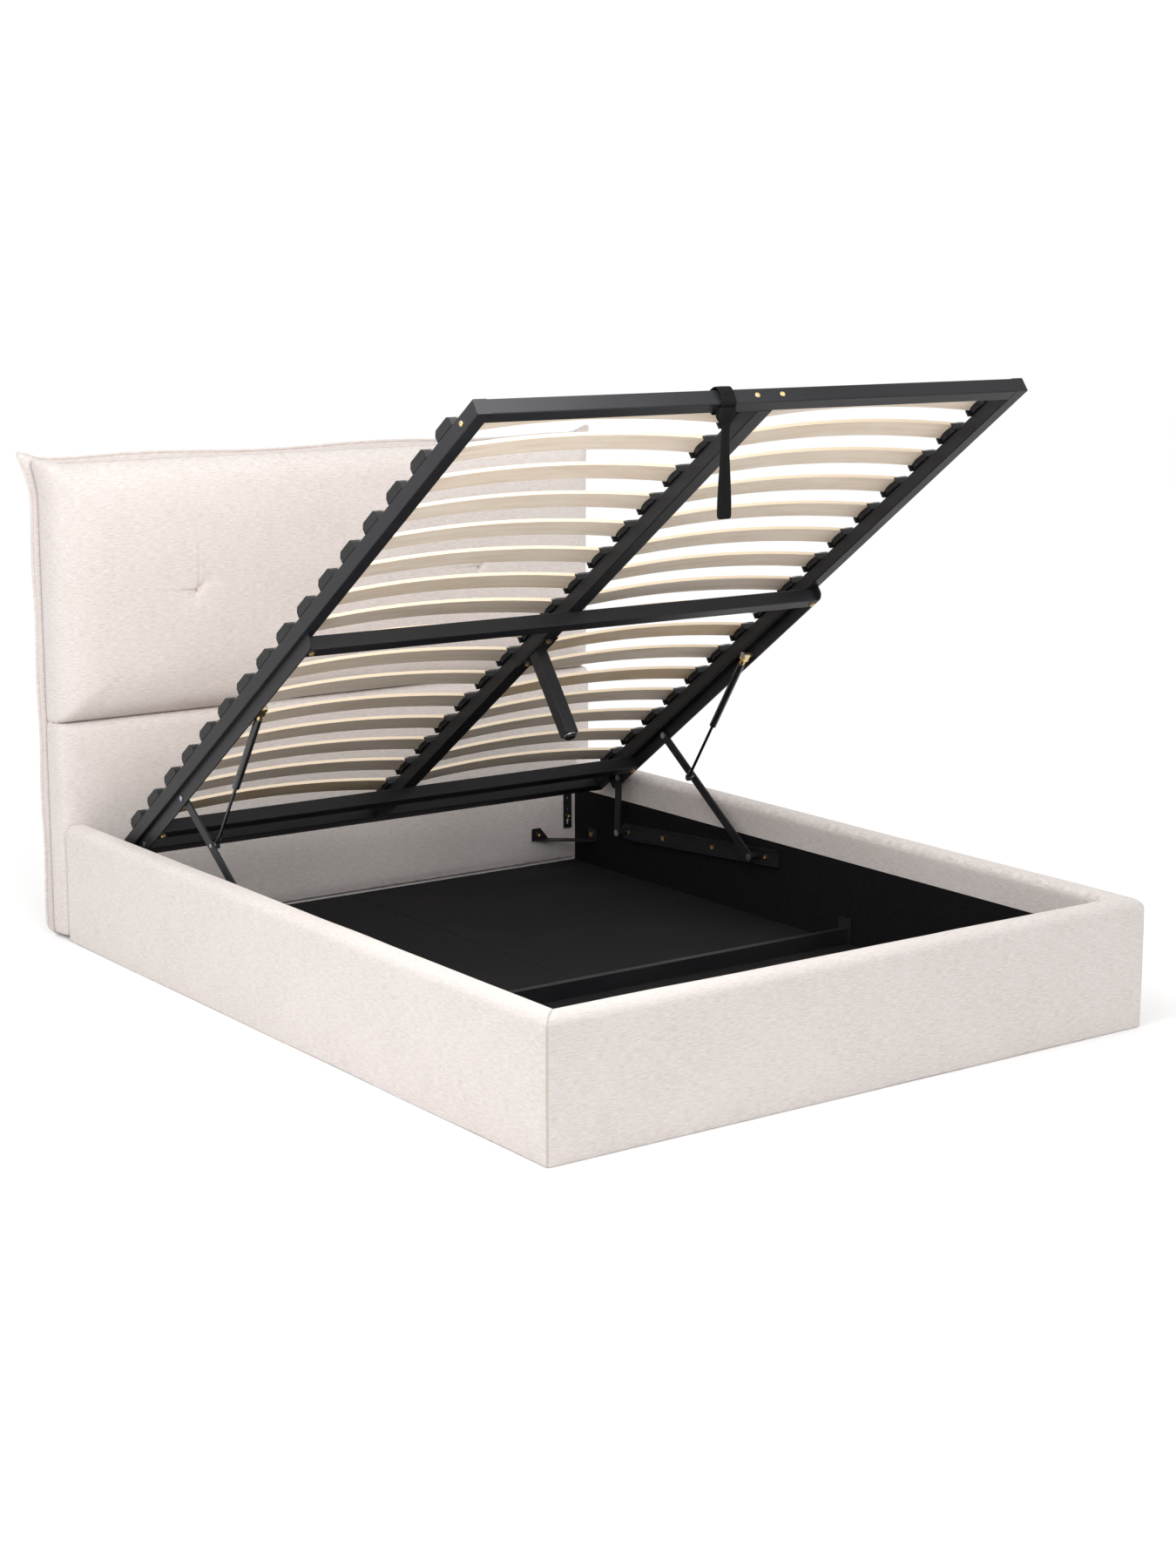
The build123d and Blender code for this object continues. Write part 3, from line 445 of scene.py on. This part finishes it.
def new_piece(name):
    """Names the primitive just added, with its place and size put into its mesh."""
    piece = bpy.context.object
    piece.name = name
    take_up(piece)
    bpy.ops.object.transform_apply(location=True, rotation=True, scale=True)
    return piece


def add_block(name, low, high):
    low, high = Vector(low), Vector(high)
    bpy.ops.object.select_all(action="DESELECT")
    bpy.ops.mesh.primitive_cube_add(size=1, location=(low + high) / 2, scale=high - low)
    return new_piece(name)


def middle(part):
    return sum((vert.co for vert in part.verts), Vector()) / len(part.verts)


def pick(piece, kind, wanted):
    """In edit mode, selects the edges or faces that are wanted, and nothing else."""
    bpy.ops.mesh.select_mode(type=kind)
    bpy.ops.mesh.select_all(action="DESELECT")
    shape = bmesh.from_edit_mesh(piece.data)
    for part in shape.edges if kind == "EDGE" else shape.faces:
        if wanted(part):
            part.select_set(True)
    bmesh.update_edit_mesh(piece.data)


def round_edges(piece, wanted, width, segments):
    """In edit mode, bevels the edges that are wanted."""
    pick(piece, "EDGE", wanted)
    bpy.ops.mesh.bevel(offset=width, segments=segments, affect="EDGES")


def drop_faces(piece, wanted):
    pick(piece, "FACE", wanted)
    bpy.ops.mesh.delete(type="FACE")


def runs_along(edge, axis):
    step = edge.verts[1].co - edge.verts[0].co
    return abs(step[axis]) > straight * step.length


def cut_across(places, normal):
    """Cuts everything in edit mode with parallel planes, through each place."""
    for place in places:
        bpy.ops.mesh.select_all(action="SELECT")
        bpy.ops.mesh.bisect(plane_co=place, plane_no=normal)


def cut_at(axis, offsets):
    """Cuts everything in edit mode across one axis, at each offset along it."""
    normal = Vector((0, 0, 0))
    normal[axis] = 1
    cut_across([normal * offset for offset in offsets], normal)


def cut_off(place, normal):
    """Takes away all that lies ahead of a plane."""
    bpy.ops.mesh.select_all(action="SELECT")
    bpy.ops.mesh.bisect(plane_co=place, plane_no=normal, clear_outer=True)


def apply_modifier(piece, kind, **settings):
    take_up(piece)
    modifier = piece.modifiers.new(kind.title(), kind)
    for name, value in settings.items():
        setattr(modifier, name, value)
    bpy.ops.object.modifier_apply(modifier=modifier.name)


def subdivide_smoothly(piece):
    apply_modifier(piece, "SUBSURF", levels=1, render_levels=1)


def ripple(piece, size, strength):
    """Gives cloth its slight unevenness."""
    texture = bpy.data.textures.new(piece.name + "_unevenness", "CLOUDS")
    texture.noise_scale = size
    apply_modifier(piece, "DISPLACE", texture=texture, texture_coords="LOCAL", strength=strength,
                   mid_level=0.5)


def face_outwards(piece):
    take_up(piece)
    edit_mode()
    bpy.ops.mesh.select_all(action="SELECT")
    bpy.ops.mesh.remove_doubles(threshold=0.00001)
    bpy.ops.mesh.normals_make_consistent(inside=False)
    object_mode()


def finish_off(piece, slot, body, *nodes):
    """Smooths a piece's shading, gives it its finish, and hangs it on its body."""
    take_up(piece)
    bpy.ops.object.shade_smooth_by_angle(angle=radians(50))
    piece.data.materials.clear()
    piece.data.materials.append(finishes[slot])
    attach(piece, body)
    if nodes:
        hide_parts(*nodes)


def lay_cloth(piece, laid):
    """Keeps where each point lies on the cloth, along and across it, for the weave."""
    places = [value for vertex in piece.data.vertices for value in (*laid(vertex.co), 0)]
    attribute = piece.data.attributes.new("cloth", "FLOAT_VECTOR", "POINT")
    attribute.data.foreach_set("vector", places)


def mark_seam_shade(piece, depth):
    """Keeps how deep in a seam each point lies, for the painted shade along the seam."""
    attribute = piece.data.attributes.new("seam", "FLOAT", "POINT")
    attribute.data.foreach_set("value", [depth(vertex.co) for vertex in piece.data.vertices])


def move_points(piece, moved):
    for vertex in piece.data.vertices:
        vertex.co = moved(vertex.co.copy())
    piece.data.update()


# Upholstered boards
board_edge = 0.024
board_low_edge = 0.005
board_column = 0.035
board_row = 0.030
board_rows = range(1, 9)
board_ripple = (0.30, 0.0030)
wrap_end = 0.218

# The cloth closes the boards' head ends, a little past them
head_turn = 0.003
head_turn_lines = (0.0010, 0.0050)

# The corner seams at the foot; the side boards, run 1, are rounded more than the foot board, run 0
mitre_lines = (0.0011, 0.0020, 0.0034, 0.0050, 0.0072)
seam_gap = 0.0007
seam_round = {1: 0.009, 0: 0.005}
seam_depth = 1.1
seam_fall = 1.2
# Width of the painted shade along the outer corner seams, and how far from the outer side it reaches
seam_shade_width = 0.0024
seam_shade_reach = 0.03

lining_cuts = 24
lining_node_thickness = 0.002
lining_thickness = 0.0006
lining_ripple = (0.12, 0.0011)


def board_cover(name, node, run, inward, mitres):
    """Cloth stretched over a board. run is the axis along it, inward the sense of its inner side,
    and mitres are the plan directions in which its foot corners are cut back."""
    low, high = corners(node)
    across = 1 - run
    width = high[across] - low[across]
    outer = low[across] if inward > 0 else high[across]
    head_end = high.y + head_turn
    mitres = [(Vector(corner), Vector(away).normalized()) for corner, away in mitres]

    def top_edge(edge):
        return runs_along(edge, run) and middle(edge).z > high.z - cloth

    def low_outer_edge(edge):
        return runs_along(edge, run) and middle(edge).z < cloth and abs(middle(edge)[across] - outer) < cloth

    def open_end(face):
        return face.normal[run] < -squarely or run == 0 and face.normal[run] > squarely

    piece = add_block(name, low, (high.x, head_end, high.z) if run == 1 else high)
    edit_mode()
    round_edges(piece, top_edge, board_edge, segments=7)
    round_edges(piece, low_outer_edge, board_low_edge, segments=3)
    cut_at(2, [wrap_end])
    drop_faces(piece, lambda face: face.normal.z < -downwards)
    drop_faces(piece, lambda face: face.normal[across] * inward > squarely and middle(face).z < wrap_end)
    drop_faces(piece, open_end)
    if run == 1:
        cut_at(1, [head_end - back for back in head_turn_lines])
    columns = range(1, int((high[run] - low[run]) / board_column))
    cut_at(run, [low[run] + step * board_column for step in columns])
    cut_at(2, [step * board_row for step in board_rows])
    for corner, away in mitres:
        cut_across([corner - away * line for line in mitre_lines], away)
        cut_off(corner - away * seam_gap, away)
    bpy.ops.mesh.select_all(action="SELECT")
    bpy.ops.mesh.normals_make_consistent(inside=False)
    object_mode()

    def turn_in(point):
        """Rounds the cloth into its corner seams, less towards the inner side."""
        for corner, away in mitres:
            radius = seam_round[run]
            reach = (corner - point).dot(away) * sqrt(2)
            if reach < radius:
                depth = radius - sqrt(radius ** 2 - (radius - max(reach, 0)) ** 2)
                depth *= 1 - eased(abs(point[across] - outer) / width * seam_fall)
                core = point.copy()
                core[across] = (high[across] + low[across]) / 2
                core.z = min(point.z, high.z - width / 2)
                step = core - point
                step[run] = 0
                point += step.normalized() * depth * seam_depth
        return point

    def seam_shaded(point):
        """Painted shade: 1 at a corner seam of the outer side, and 0 away from it."""
        if abs(point[across] - outer) >= seam_shade_reach:
            return 0.0
        return max(bell(max((corner - point).dot(away), 0), seam_shade_width) for corner, away in mitres)

    move_points(piece, turn_in)
    ripple(piece, *board_ripple)
    subdivide_smoothly(piece)
    apply_modifier(piece, "SOLIDIFY", thickness=cloth, offset=-1)
    lay_cloth(piece, lambda point: (point[run], point.z + abs(point[across] - outer)))
    mark_seam_shade(piece, seam_shaded)
    finish_off(piece, "linen", "base", node)


def board_covers():
    low, high = corners("foot_cover")
    right, left = (high.x, low.y, 0), (low.x, low.y, 0)
    board_cover("side_cloth_right", "side_cover_right", 1, -1, [(right, (-1, -1, 0))])
    board_cover("side_cloth_left", "side_cover_left", 1, 1, [(left, (1, -1, 0))])
    board_cover("foot_cloth", "foot_cover", 0, 1, [(right, (1, 1, 0)), (left, (-1, 1, 0))])


def lining_sheet(name, low, high, thin_axis, boards, *nodes):
    """Black cloth stretched over the inner side of a board."""
    middle_plane = (low[thin_axis] + high[thin_axis]) / 2
    piece = add_block(name, low, high)
    edit_mode()
    drop_faces(piece, lambda face: face.normal[thin_axis] > -squarely)
    bpy.ops.mesh.select_all(action="SELECT")
    bpy.ops.mesh.subdivide(number_cuts=lining_cuts)
    object_mode()
    for vertex in piece.data.vertices:
        vertex.co[thin_axis] = middle_plane
    ripple(piece, *lining_ripple)
    apply_modifier(piece, "SOLIDIFY", thickness=lining_thickness, offset=0)
    face_outwards(piece)
    finish_off(piece, "lining", "base", *nodes)


def linings():
    low, high = corners("side_linings")
    inner = high.x - lining_node_thickness
    right_low, left_high = Vector((inner, low.y, low.z)), Vector((-inner, high.y, high.z))
    lining_sheet("side_lining_right", right_low, high, 0, ["side_board_right"], "side_linings")
    lining_sheet("side_lining_left", low, left_high, 0, ["side_board_left"], "side_linings")
    low, high = corners("foot_lining")
    lining_sheet("foot_lining_cloth", low, high, 1, ["foot_board"], "foot_lining")


# Headboard
pad_hold = 0.014
pad_pressure = 3.0
settle_frames = 20

cushion_low_inset = (0.003, 0.006, -0.007)
cushion_high_inset = (0.003, -0.006, 0.008)
cushion_edge = 0.072
cushion_grain = 0.0135
cushion_swell = 0.006

lower_low_inset = (0.003, 0.005, -0.0035)
lower_high_inset = (0.003, -0.006, -0.009)
lower_edge = 0.022
lower_grain = 0.012
lower_swell = 0.005

# Tufts: a slanting slit in a dimple, folds upwards and to the left, slack beside them
tuft_places = (-0.435, 0.0, 0.435)
tuft_height = 0.881
tuft_front = 0.045
tuft_span = 0.2
tuft_refined = ((0.03, 0.15), (0.0, 0.05))
slit_depth = 0.014
slit_reach = 0.007
slit_slant = 0.8
slit_narrowing = 1.4
slit_lengthening = 0.55
dimple_depth = 0.006
dimple_reach = 0.030
fold_start = 0.008
fold_length = 0.150
fold_width = 0.004
up_fold_depth = 0.0026
left_fold_depth = 0.0010
right_slack_depth = 0.0045
right_slack_start = 0.018
right_slack_reach = 0.045
right_slack_rise = 0.02
right_slack_top = 0.10
right_slack_fall = 0.09
left_slack_depth = 0.0060
left_slack_start = 0.004
left_slack_reach = 0.035
left_slack_drop = 0.055

# The cushion's part in the ears
flare = 0.027
flare_power = 1.5
flare_width = 0.08
lift = 0.011
lift_inset = 0.05
lift_width = 0.06
still_front = 0.02
still_reach = 0.07


def soft_pad(name, node, low_inset, high_inset, edge, grain):
    """A padded block with soft front edges; a negative inset takes it past its place in the CAD."""
    low, high = corners(node)
    front = low.y + low_inset[1]
    piece = add_block(name, low + Vector(low_inset), high - Vector(high_inset))
    edit_mode()
    round_edges(piece, lambda part: abs(middle(part).y - front) < cloth, edge, segments=9)
    object_mode()
    apply_modifier(piece, "REMESH", mode="VOXEL", voxel_size=grain)
    return piece


def plump(piece, back, swell):
    """Fills a pad by a short cloth simulation that holds its back; no point moves more than the swell."""
    group = piece.vertex_groups.new(name="held")
    for vertex in piece.data.vertices:
        group.add([vertex.index], 1.0 if vertex.co.y > back - pad_hold else 0.0, "REPLACE")
    before = [vertex.co.copy() for vertex in piece.data.vertices]
    take_up(piece)
    modifier = piece.modifiers.new("Cloth", "CLOTH")
    modifier.settings.use_pressure = True
    modifier.settings.uniform_pressure_force = pad_pressure
    modifier.settings.effector_weights.gravity = 0
    modifier.settings.vertex_group_mass = "held"
    modifier.settings.quality = 5
    modifier.point_cache.frame_start = 1
    modifier.point_cache.frame_end = settle_frames
    for number in range(1, settle_frames + 1):
        bpy.context.scene.frame_set(number)
    bpy.ops.object.modifier_apply(modifier=modifier.name)
    bpy.context.scene.frame_set(1)
    for vertex, old in zip(piece.data.vertices, before):
        step = vertex.co - old
        if step.length > swell:
            vertex.co = old + step * (swell / step.length)
    piece.vertex_groups.clear()
    piece.data.update()
    apply_modifier(piece, "SMOOTH", factor=0.5, iterations=8)


def refine_near(piece, place, reach):
    """Splits the front faces round a place more finely."""
    take_up(piece)
    edit_mode()
    pick(piece, "FACE", lambda face: face.normal.y < -front_facing and (middle(face) - place).length < reach)
    bpy.ops.mesh.subdivide(number_cuts=1)
    object_mode()


def round_sides(front, shift):
    """Lays the cloth so that its weave goes on round a pad's sides."""

    def laid(point):
        side = 1 if point.x > 0 else -1
        turned = eased((abs(point.x) - side_start) / side_reach)
        return point.x + shift + (point.y - front) * side * turned, point.z

    return laid


def tuft_pull(across, up):
    """How far a tuft and the folds that run from it draw the front of the cushion in."""
    slit = hypot((across - up * slit_slant) * slit_narrowing, (up + across * slit_slant) * slit_lengthening)
    pull = slit_depth * fading(slit, slit_reach) + dimple_depth * fading(hypot(across, up), dimple_reach)
    along = eased(up / fold_start) * eased((fold_length - up) / fold_length * 2)
    pull += up_fold_depth * bell(across, fold_width) * along
    along = eased((fold_length + across) / fold_length * 1.5) * eased(-across / fold_start)
    pull += left_fold_depth * bell(up, fold_width) * along
    slack = eased(across / right_slack_start) * fading(abs(across), right_slack_reach)
    slack *= eased(up / right_slack_rise) * eased((right_slack_top - up) / right_slack_fall)
    pull += right_slack_depth * slack
    if up < 0:
        slack = eased(-across / left_slack_start) * fading(-across, left_slack_reach)
        pull += left_slack_depth * slack * eased((up + left_slack_drop) / left_slack_drop)
    return pull


def headboard_cushion():
    low, high = corners("headboard_cushion")
    piece = soft_pad("headboard_cushion_cloth", "headboard_cushion", cushion_low_inset, cushion_high_inset,
                     cushion_edge, cushion_grain)
    plump(piece, high.y, cushion_swell)
    for place in tuft_places:
        for above, reach in tuft_refined:
            refine_near(piece, Vector((place, low.y, tuft_height + above)), reach)

    def tufted(point):
        if point.y < low.y + tuft_front:
            point.y += sum(tuft_pull(point.x - place, point.z - tuft_height) for place in tuft_places
                           if abs(point.x - place) < tuft_span)
        side = 1 if point.x > 0 else -1
        rise = max(0.0, (point.z - (high.z - ear_length)) / ear_length)
        near = eased((abs(point.x) - (high.x - flare_width)) / flare_width)
        back = eased((point.y - low.y - still_front) / still_reach)
        point.x += side * flare * rise ** flare_power * near * back
        point.z += lift * eased((abs(point.x) - (high.x - lift_inset)) / lift_width) * eased(rise) * back
        return point

    subdivide_smoothly(piece)
    move_points(piece, tufted)
    lay_cloth(piece, round_sides(low.y, cushion_shift))
    finish_off(piece, "linen", "base", "headboard_cushion")


def headboard_lower_pad():
    low, high = corners("headboard_lower_pad")
    piece = soft_pad("headboard_lower_cloth", "headboard_lower_pad", lower_low_inset, lower_high_inset,
                     lower_edge, lower_grain)
    plump(piece, high.y, lower_swell)
    subdivide_smoothly(piece)
    lay_cloth(piece, round_sides(low.y, lower_shift))
    finish_off(piece, "linen", "base", "headboard_lower_pad")


back_low_corner = 0.040
back_top_corner = 0.018
back_grid = 0.02
back_columns = range(-41, 42)
back_rows = range(3, 62)
hem_lines = (0.0018, 0.0036, 0.0060, 0.0075, 0.0090)
hem_groove_depth, hem_groove_place, hem_groove_width = 0.0016, 0.0075, 0.0013
hem_roll_height, hem_roll_place, hem_roll_width = 0.0010, 0.003, 0.002
ear_stretch = 0.002
ear_power = 1.35
ear_lift_share = 0.9
ear_lift_inset = 0.060
ear_lift_width = 0.050
ear_spread = 0.12
top_wave_height = 0.004
top_wave_turn = 9
side_wave_height = 0.0016
side_wave_turn = 21
back_bevel = 0.0012


def back_cover():
    """The back cloth with its flat hem all round and an ear at each top corner."""
    low, high = corners("headboard_back_cover")
    half = high.x - ear_reach
    top = high.z - ear_rise
    piece = add_block("headboard_back_cloth", (-half, low.y, low.z), (half, high.y, top))

    def low_corner(edge):
        return runs_along(edge, 1) and middle(edge).z < low.z + cloth

    def top_corner(edge):
        return runs_along(edge, 1) and middle(edge).z > top - cloth

    edit_mode()
    round_edges(piece, low_corner, back_low_corner, segments=6)
    round_edges(piece, top_corner, back_top_corner, segments=8)
    cut_at(0, [step * back_grid for step in back_columns])
    cut_at(2, [step * back_grid for step in back_rows])
    cut_at(0, [side * (half - line) for line in hem_lines for side in (-1, 1)])
    cut_at(2, [top - line for line in hem_lines])
    object_mode()

    def eared(point):
        side = 1 if point.x > 0 else -1
        rise = max(0.0, (point.z - (top - ear_length)) / ear_length)
        reach = eased((abs(point.x) - (half - ear_lift_inset)) / ear_lift_width)
        inward = eased((abs(point.x) - (half - ear_spread)) / ear_spread)
        downward = eased((point.z - (top - ear_spread)) / ear_spread)
        border = min(half - abs(point.x), top - point.z)
        if point.y < low.y + cloth / 2:
            point.y += hem_groove_depth * bell(border - hem_groove_place, hem_groove_width)
            point.y -= hem_roll_height * bell(border - hem_roll_place, hem_roll_width)
        point.x += side * (ear_reach + ear_stretch) * rise ** ear_power * inward
        point.z += ear_lift_share * ear_rise * reach * downward
        flat = 1 - eased((abs(point.x) - side_start) / side_reach)
        point.z += top_wave_height * sin(point.x * top_wave_turn) * downward * flat
        point.x += side * side_wave_height * sin(point.z * side_wave_turn) * inward
        return point

    move_points(piece, eared)
    apply_modifier(piece, "BEVEL", width=back_bevel, segments=2, limit_method="ANGLE",
                   angle_limit=radians(60))
    lay_cloth(piece, lambda point: (point.x + back_shift, point.z + point.y))
    finish_off(piece, "linen", "base", "headboard_back_cover")


button_radius = 0.0065
button_flatness = 0.42
button_sink = 0.0028


def tuft_buttons():
    """Small covered buttons at the bottom of the tufts."""
    _, high = corners("tuft_buttons")
    buttons = []
    for place in tuft_places:
        bpy.ops.object.select_all(action="DESELECT")
        bpy.ops.mesh.primitive_uv_sphere_add(segments=24, ring_count=12, radius=button_radius,
                                             location=(place, high.y - button_sink, tuft_height),
                                             scale=(1, button_flatness, 1))
        buttons.append(new_piece("tuft_button"))
    bpy.ops.object.select_all(action="DESELECT")
    for button in buttons:
        button.select_set(True)
    bpy.context.view_layer.objects.active = buttons[0]
    bpy.ops.object.join()
    piece = bpy.context.object
    piece.name = "tuft_buttons_cloth"
    lay_cloth(piece, lambda point: (point.x + button_shift, point.z))
    finish_off(piece, "linen", "base", "tuft_buttons")


# Pull strap
strap_offset = -0.115
strap_width = 0.038
webbing = 0.0016
loop_lines = (-0.42, -0.25, 0, 0.25, 0.42)
loop_inner = 0.0012
loop_squareness = 5
loop_slack = 0.0040
loop_top_slack = 0.0025
loop_swell = 0.0006
loop_shift = 0.007

tail_half = 0.0185
tail_half_thickness = 0.0024
tail_hem = 0.024
tail_top = 0.030
tail_corner = 0.008
tail_row = 0.008
tail_rows = range(1, 24)
tail_lines = (-0.85, -0.5, -0.25, -0.1, 0.1, 0.35, 0.6, 0.85)
tail_narrowing = 0.48
tail_narrowing_start = 0.08
tail_narrowing_share = 0.85
tail_shift = 0.0085
tail_sway = 0.0010
tail_sway_turn = 5
tail_swell = 0.0016
tail_fold_depth = 0.0024
tail_fold_place = 0.05
tail_fold_width = 0.16
tail_bow = 0.002
tail_bow_turn = 4
tail_bow_phase = 0.5

knot_half = (0.0215, 0.0165)
knot_length = 0.043
knot_top = 0.004
knot_row = 0.0036
knot_rows = range(1, 12)
knot_edge = 0.002
knot_squareness = 3.2
knot_narrowing = 0.55
knot_narrowing_start = 0.45
knot_flattening = 0.72
knot_flattening_start = 0.05
knot_flattening_share = 0.9
knot_shift = 0.008
knot_fold_depth = 0.0018
knot_fold_width = 0.16
knot_fold_lean = 0.8
knot_fold_drop = 1.1
knot_fold_start = 0.62


def add_cylinder(name, **shape):
    bpy.ops.object.select_all(action="DESELECT")
    bpy.ops.mesh.primitive_cylinder_add(vertices=48, radius=1, **shape)
    return new_piece(name)


def strap_loop():
    """Webbing round the foot bar, standing a little loose of its corners."""
    centre = Vector((strap_offset, tube / 2 - platform_length, tube / 2))
    piece = add_cylinder("strap_loop_webbing", depth=strap_width, end_fill_type="NOTHING", location=centre,
                         rotation=(0, pi / 2, 0))
    edit_mode()
    cut_at(0, [strap_offset + share * strap_width for share in loop_lines])
    object_mode()

    def round_bar(point):
        """Brings the cylinder to the bar's square, looser above it."""
        across, up = point.y - centre.y, point.z - centre.z
        share = (point.x - centre.x) / strap_width
        squared = (abs(across) ** loop_squareness + abs(up) ** loop_squareness) ** (1 / loop_squareness)
        reach = (tube / 2 + loop_inner) / squared
        reach += loop_swell * (1 - (2 * share) ** 2) + loop_slack + loop_top_slack * eased(up / reach)
        point.x -= loop_shift
        point.y = centre.y + across * reach
        point.z = centre.z + up * reach
        return point

    move_points(piece, round_bar)
    apply_modifier(piece, "SOLIDIFY", thickness=webbing, offset=1)
    lay_cloth(piece, lambda point: (point.y + point.z, point.x))
    piece.data.transform(platform_turn)
    face_outwards(piece)
    finish_off(piece, "webbing", "platform", "strap_loop")


def strap_tail():
    """The two layers of the tail, drawn narrow under the knot."""
    low, high = corners("strap_tail")
    middle_x, middle_y = (low.x + high.x) / 2, (low.y + high.y) / 2
    hem_height = low.z + tail_hem
    length = high.z - tail_top - hem_height
    piece = add_block("strap_tail_webbing",
                      (middle_x - tail_half, middle_y - tail_half_thickness, hem_height),
                      (middle_x + tail_half, middle_y + tail_half_thickness, high.z - tail_top))

    def hem_corner(edge):
        return runs_along(edge, 1) and middle(edge).z < hem_height + cloth / 2

    edit_mode()
    round_edges(piece, hem_corner, tail_corner, segments=5)
    cut_at(2, [hem_height + step * tail_row for step in tail_rows])
    cut_at(0, [middle_x + share * tail_half for share in tail_lines])
    object_mode()

    def gathered(point):
        share = (point.z - hem_height) / length
        across = (point.x - middle_x) / tail_half
        width = 1 - tail_narrowing * eased((share - tail_narrowing_start) / tail_narrowing_share)
        side = 1 if point.y > middle_y else -1
        fold = tail_fold_depth * bell(across + tail_fold_place, tail_fold_width)
        point.x = middle_x - tail_shift + across * tail_half * width + tail_sway * sin(share * tail_sway_turn)
        point.y += side * (tail_swell * (1 - across ** 2) - fold)
        point.y += tail_bow * sin(share * tail_bow_turn + tail_bow_phase)
        return point

    move_points(piece, gathered)
    subdivide_smoothly(piece)
    lay_cloth(piece, lambda point: (point.z, point.x))
    finish_off(piece, "webbing", "pull_strap", "strap_tail")


def strap_knot():
    """The gathered pouch that joins the loop to the tail."""
    low, high = corners("strap_tail")
    middle_x, middle_y = (low.x + high.x) / 2, (low.y + high.y) / 2
    top = high.z + knot_top
    half_x, half_y = knot_half
    piece = add_cylinder("strap_knot_webbing", depth=1, location=(middle_x, middle_y, top - knot_length / 2),
                         scale=(half_x, half_y, knot_length))

    def rim(edge):
        return min(abs(middle(edge).z - top), abs(middle(edge).z - top + knot_length)) < cloth / 10

    edit_mode()
    cut_at(2, [top - step * knot_row for step in knot_rows])
    round_edges(piece, rim, knot_edge, segments=3)
    object_mode()

    def drawn_in(point):
        """Brings the two sides of the loop together towards the tail, with a slanting fold."""
        share = (top - point.z) / knot_length
        across, deep = (point.x - middle_x) / half_x, (point.y - middle_y) / half_y
        squared = (abs(across) ** knot_squareness + abs(deep) ** knot_squareness) ** (1 / knot_squareness)
        narrow = 1 - knot_narrowing * eased((share - knot_narrowing_start) / (1 - knot_narrowing_start))
        flat = 1 - knot_flattening * eased((share - knot_flattening_start) / knot_flattening_share)
        from_fold = across * knot_fold_lean + share * knot_fold_drop - knot_fold_start
        fold = bell(from_fold, knot_fold_width) * (1 if deep < 0 else -1)
        if squared:
            across, deep = across / squared, deep / squared
        point.x = middle_x - knot_shift + across * half_x * narrow
        point.y = middle_y + deep * half_y * flat + fold * knot_fold_depth
        return point

    move_points(piece, drawn_in)
    lay_cloth(piece, lambda point: (point.z, point.x))
    finish_off(piece, "webbing", "pull_strap")


# Stage
floor_size = 60
floor_greys = (0.965, 0.975)
world_strength = 1.04

# Name, place, target, width and power of each lamp
lamps = (
    ("key", (-4.6, -1.2, 3.6), (0, 0, 0.4), 3.2, 29),
    ("top", (0.3, -0.6, 5.0), (0, 0, 0.4), 4.0, 4),
    ("fill", (-0.85, -0.9, 1.9), (-0.3, 1.1, 0.1), 1.4, 28))

camera_place = (-3.6418, -5.1585, 1.7413)
camera_tip = radians(90 - 11.29)
camera_turn = radians(-35.77)
sensor = 36
focal_pixels = 3080.94
photo_width = 1350
far_clip = 100


def stage():
    bpy.ops.object.select_all(action="DESELECT")
    bpy.ops.mesh.primitive_plane_add(size=floor_size, location=(0, 0, 0))
    floor = bpy.context.object
    floor.name = "studio_floor"
    finish = Finish("studio", Roughness=1.0, Specular_IOR_Level=0.0)
    darker, lighter = [(grey, grey, grey) for grey in floor_greys]
    finish.set(Base_Color=finish.mixed(finish.noise(finish.place(), 0.3), darker, lighter))
    floor.data.materials.append(finish.material)
    world = bpy.data.worlds.new("studio")
    bpy.context.scene.world = world
    world.use_nodes = True
    sky = world.node_tree.nodes["Background"]
    sky.inputs["Color"].default_value = (1, 1, 1, 1)
    sky.inputs["Strength"].default_value = world_strength
    for lamp in lamps:
        soft_light(*lamp)
    bpy.context.scene.view_settings.view_transform = "Standard"


def soft_light(name, place, target, size, power):
    bpy.ops.object.light_add(type="AREA", location=place)
    lamp = bpy.context.object
    lamp.name = name
    lamp.rotation_euler = (Vector(target) - Vector(place)).to_track_quat("-Z", "Y").to_euler()
    lamp.data.size = size
    lamp.data.energy = power


def camera():
    bpy.ops.object.camera_add(location=camera_place, rotation=(camera_tip, 0, camera_turn))
    view = bpy.context.object
    view.name = "camera"
    view.data.sensor_fit = "HORIZONTAL"
    view.data.sensor_width = sensor
    view.data.lens = focal_pixels / photo_width * sensor
    view.data.clip_end = far_clip
    bpy.context.scene.camera = view


camera()
board_covers()
linings()
headboard_lower_pad()
headboard_cushion()
back_cover()
tuft_buttons()
strap_loop()
strap_tail()
strap_knot()
stage()
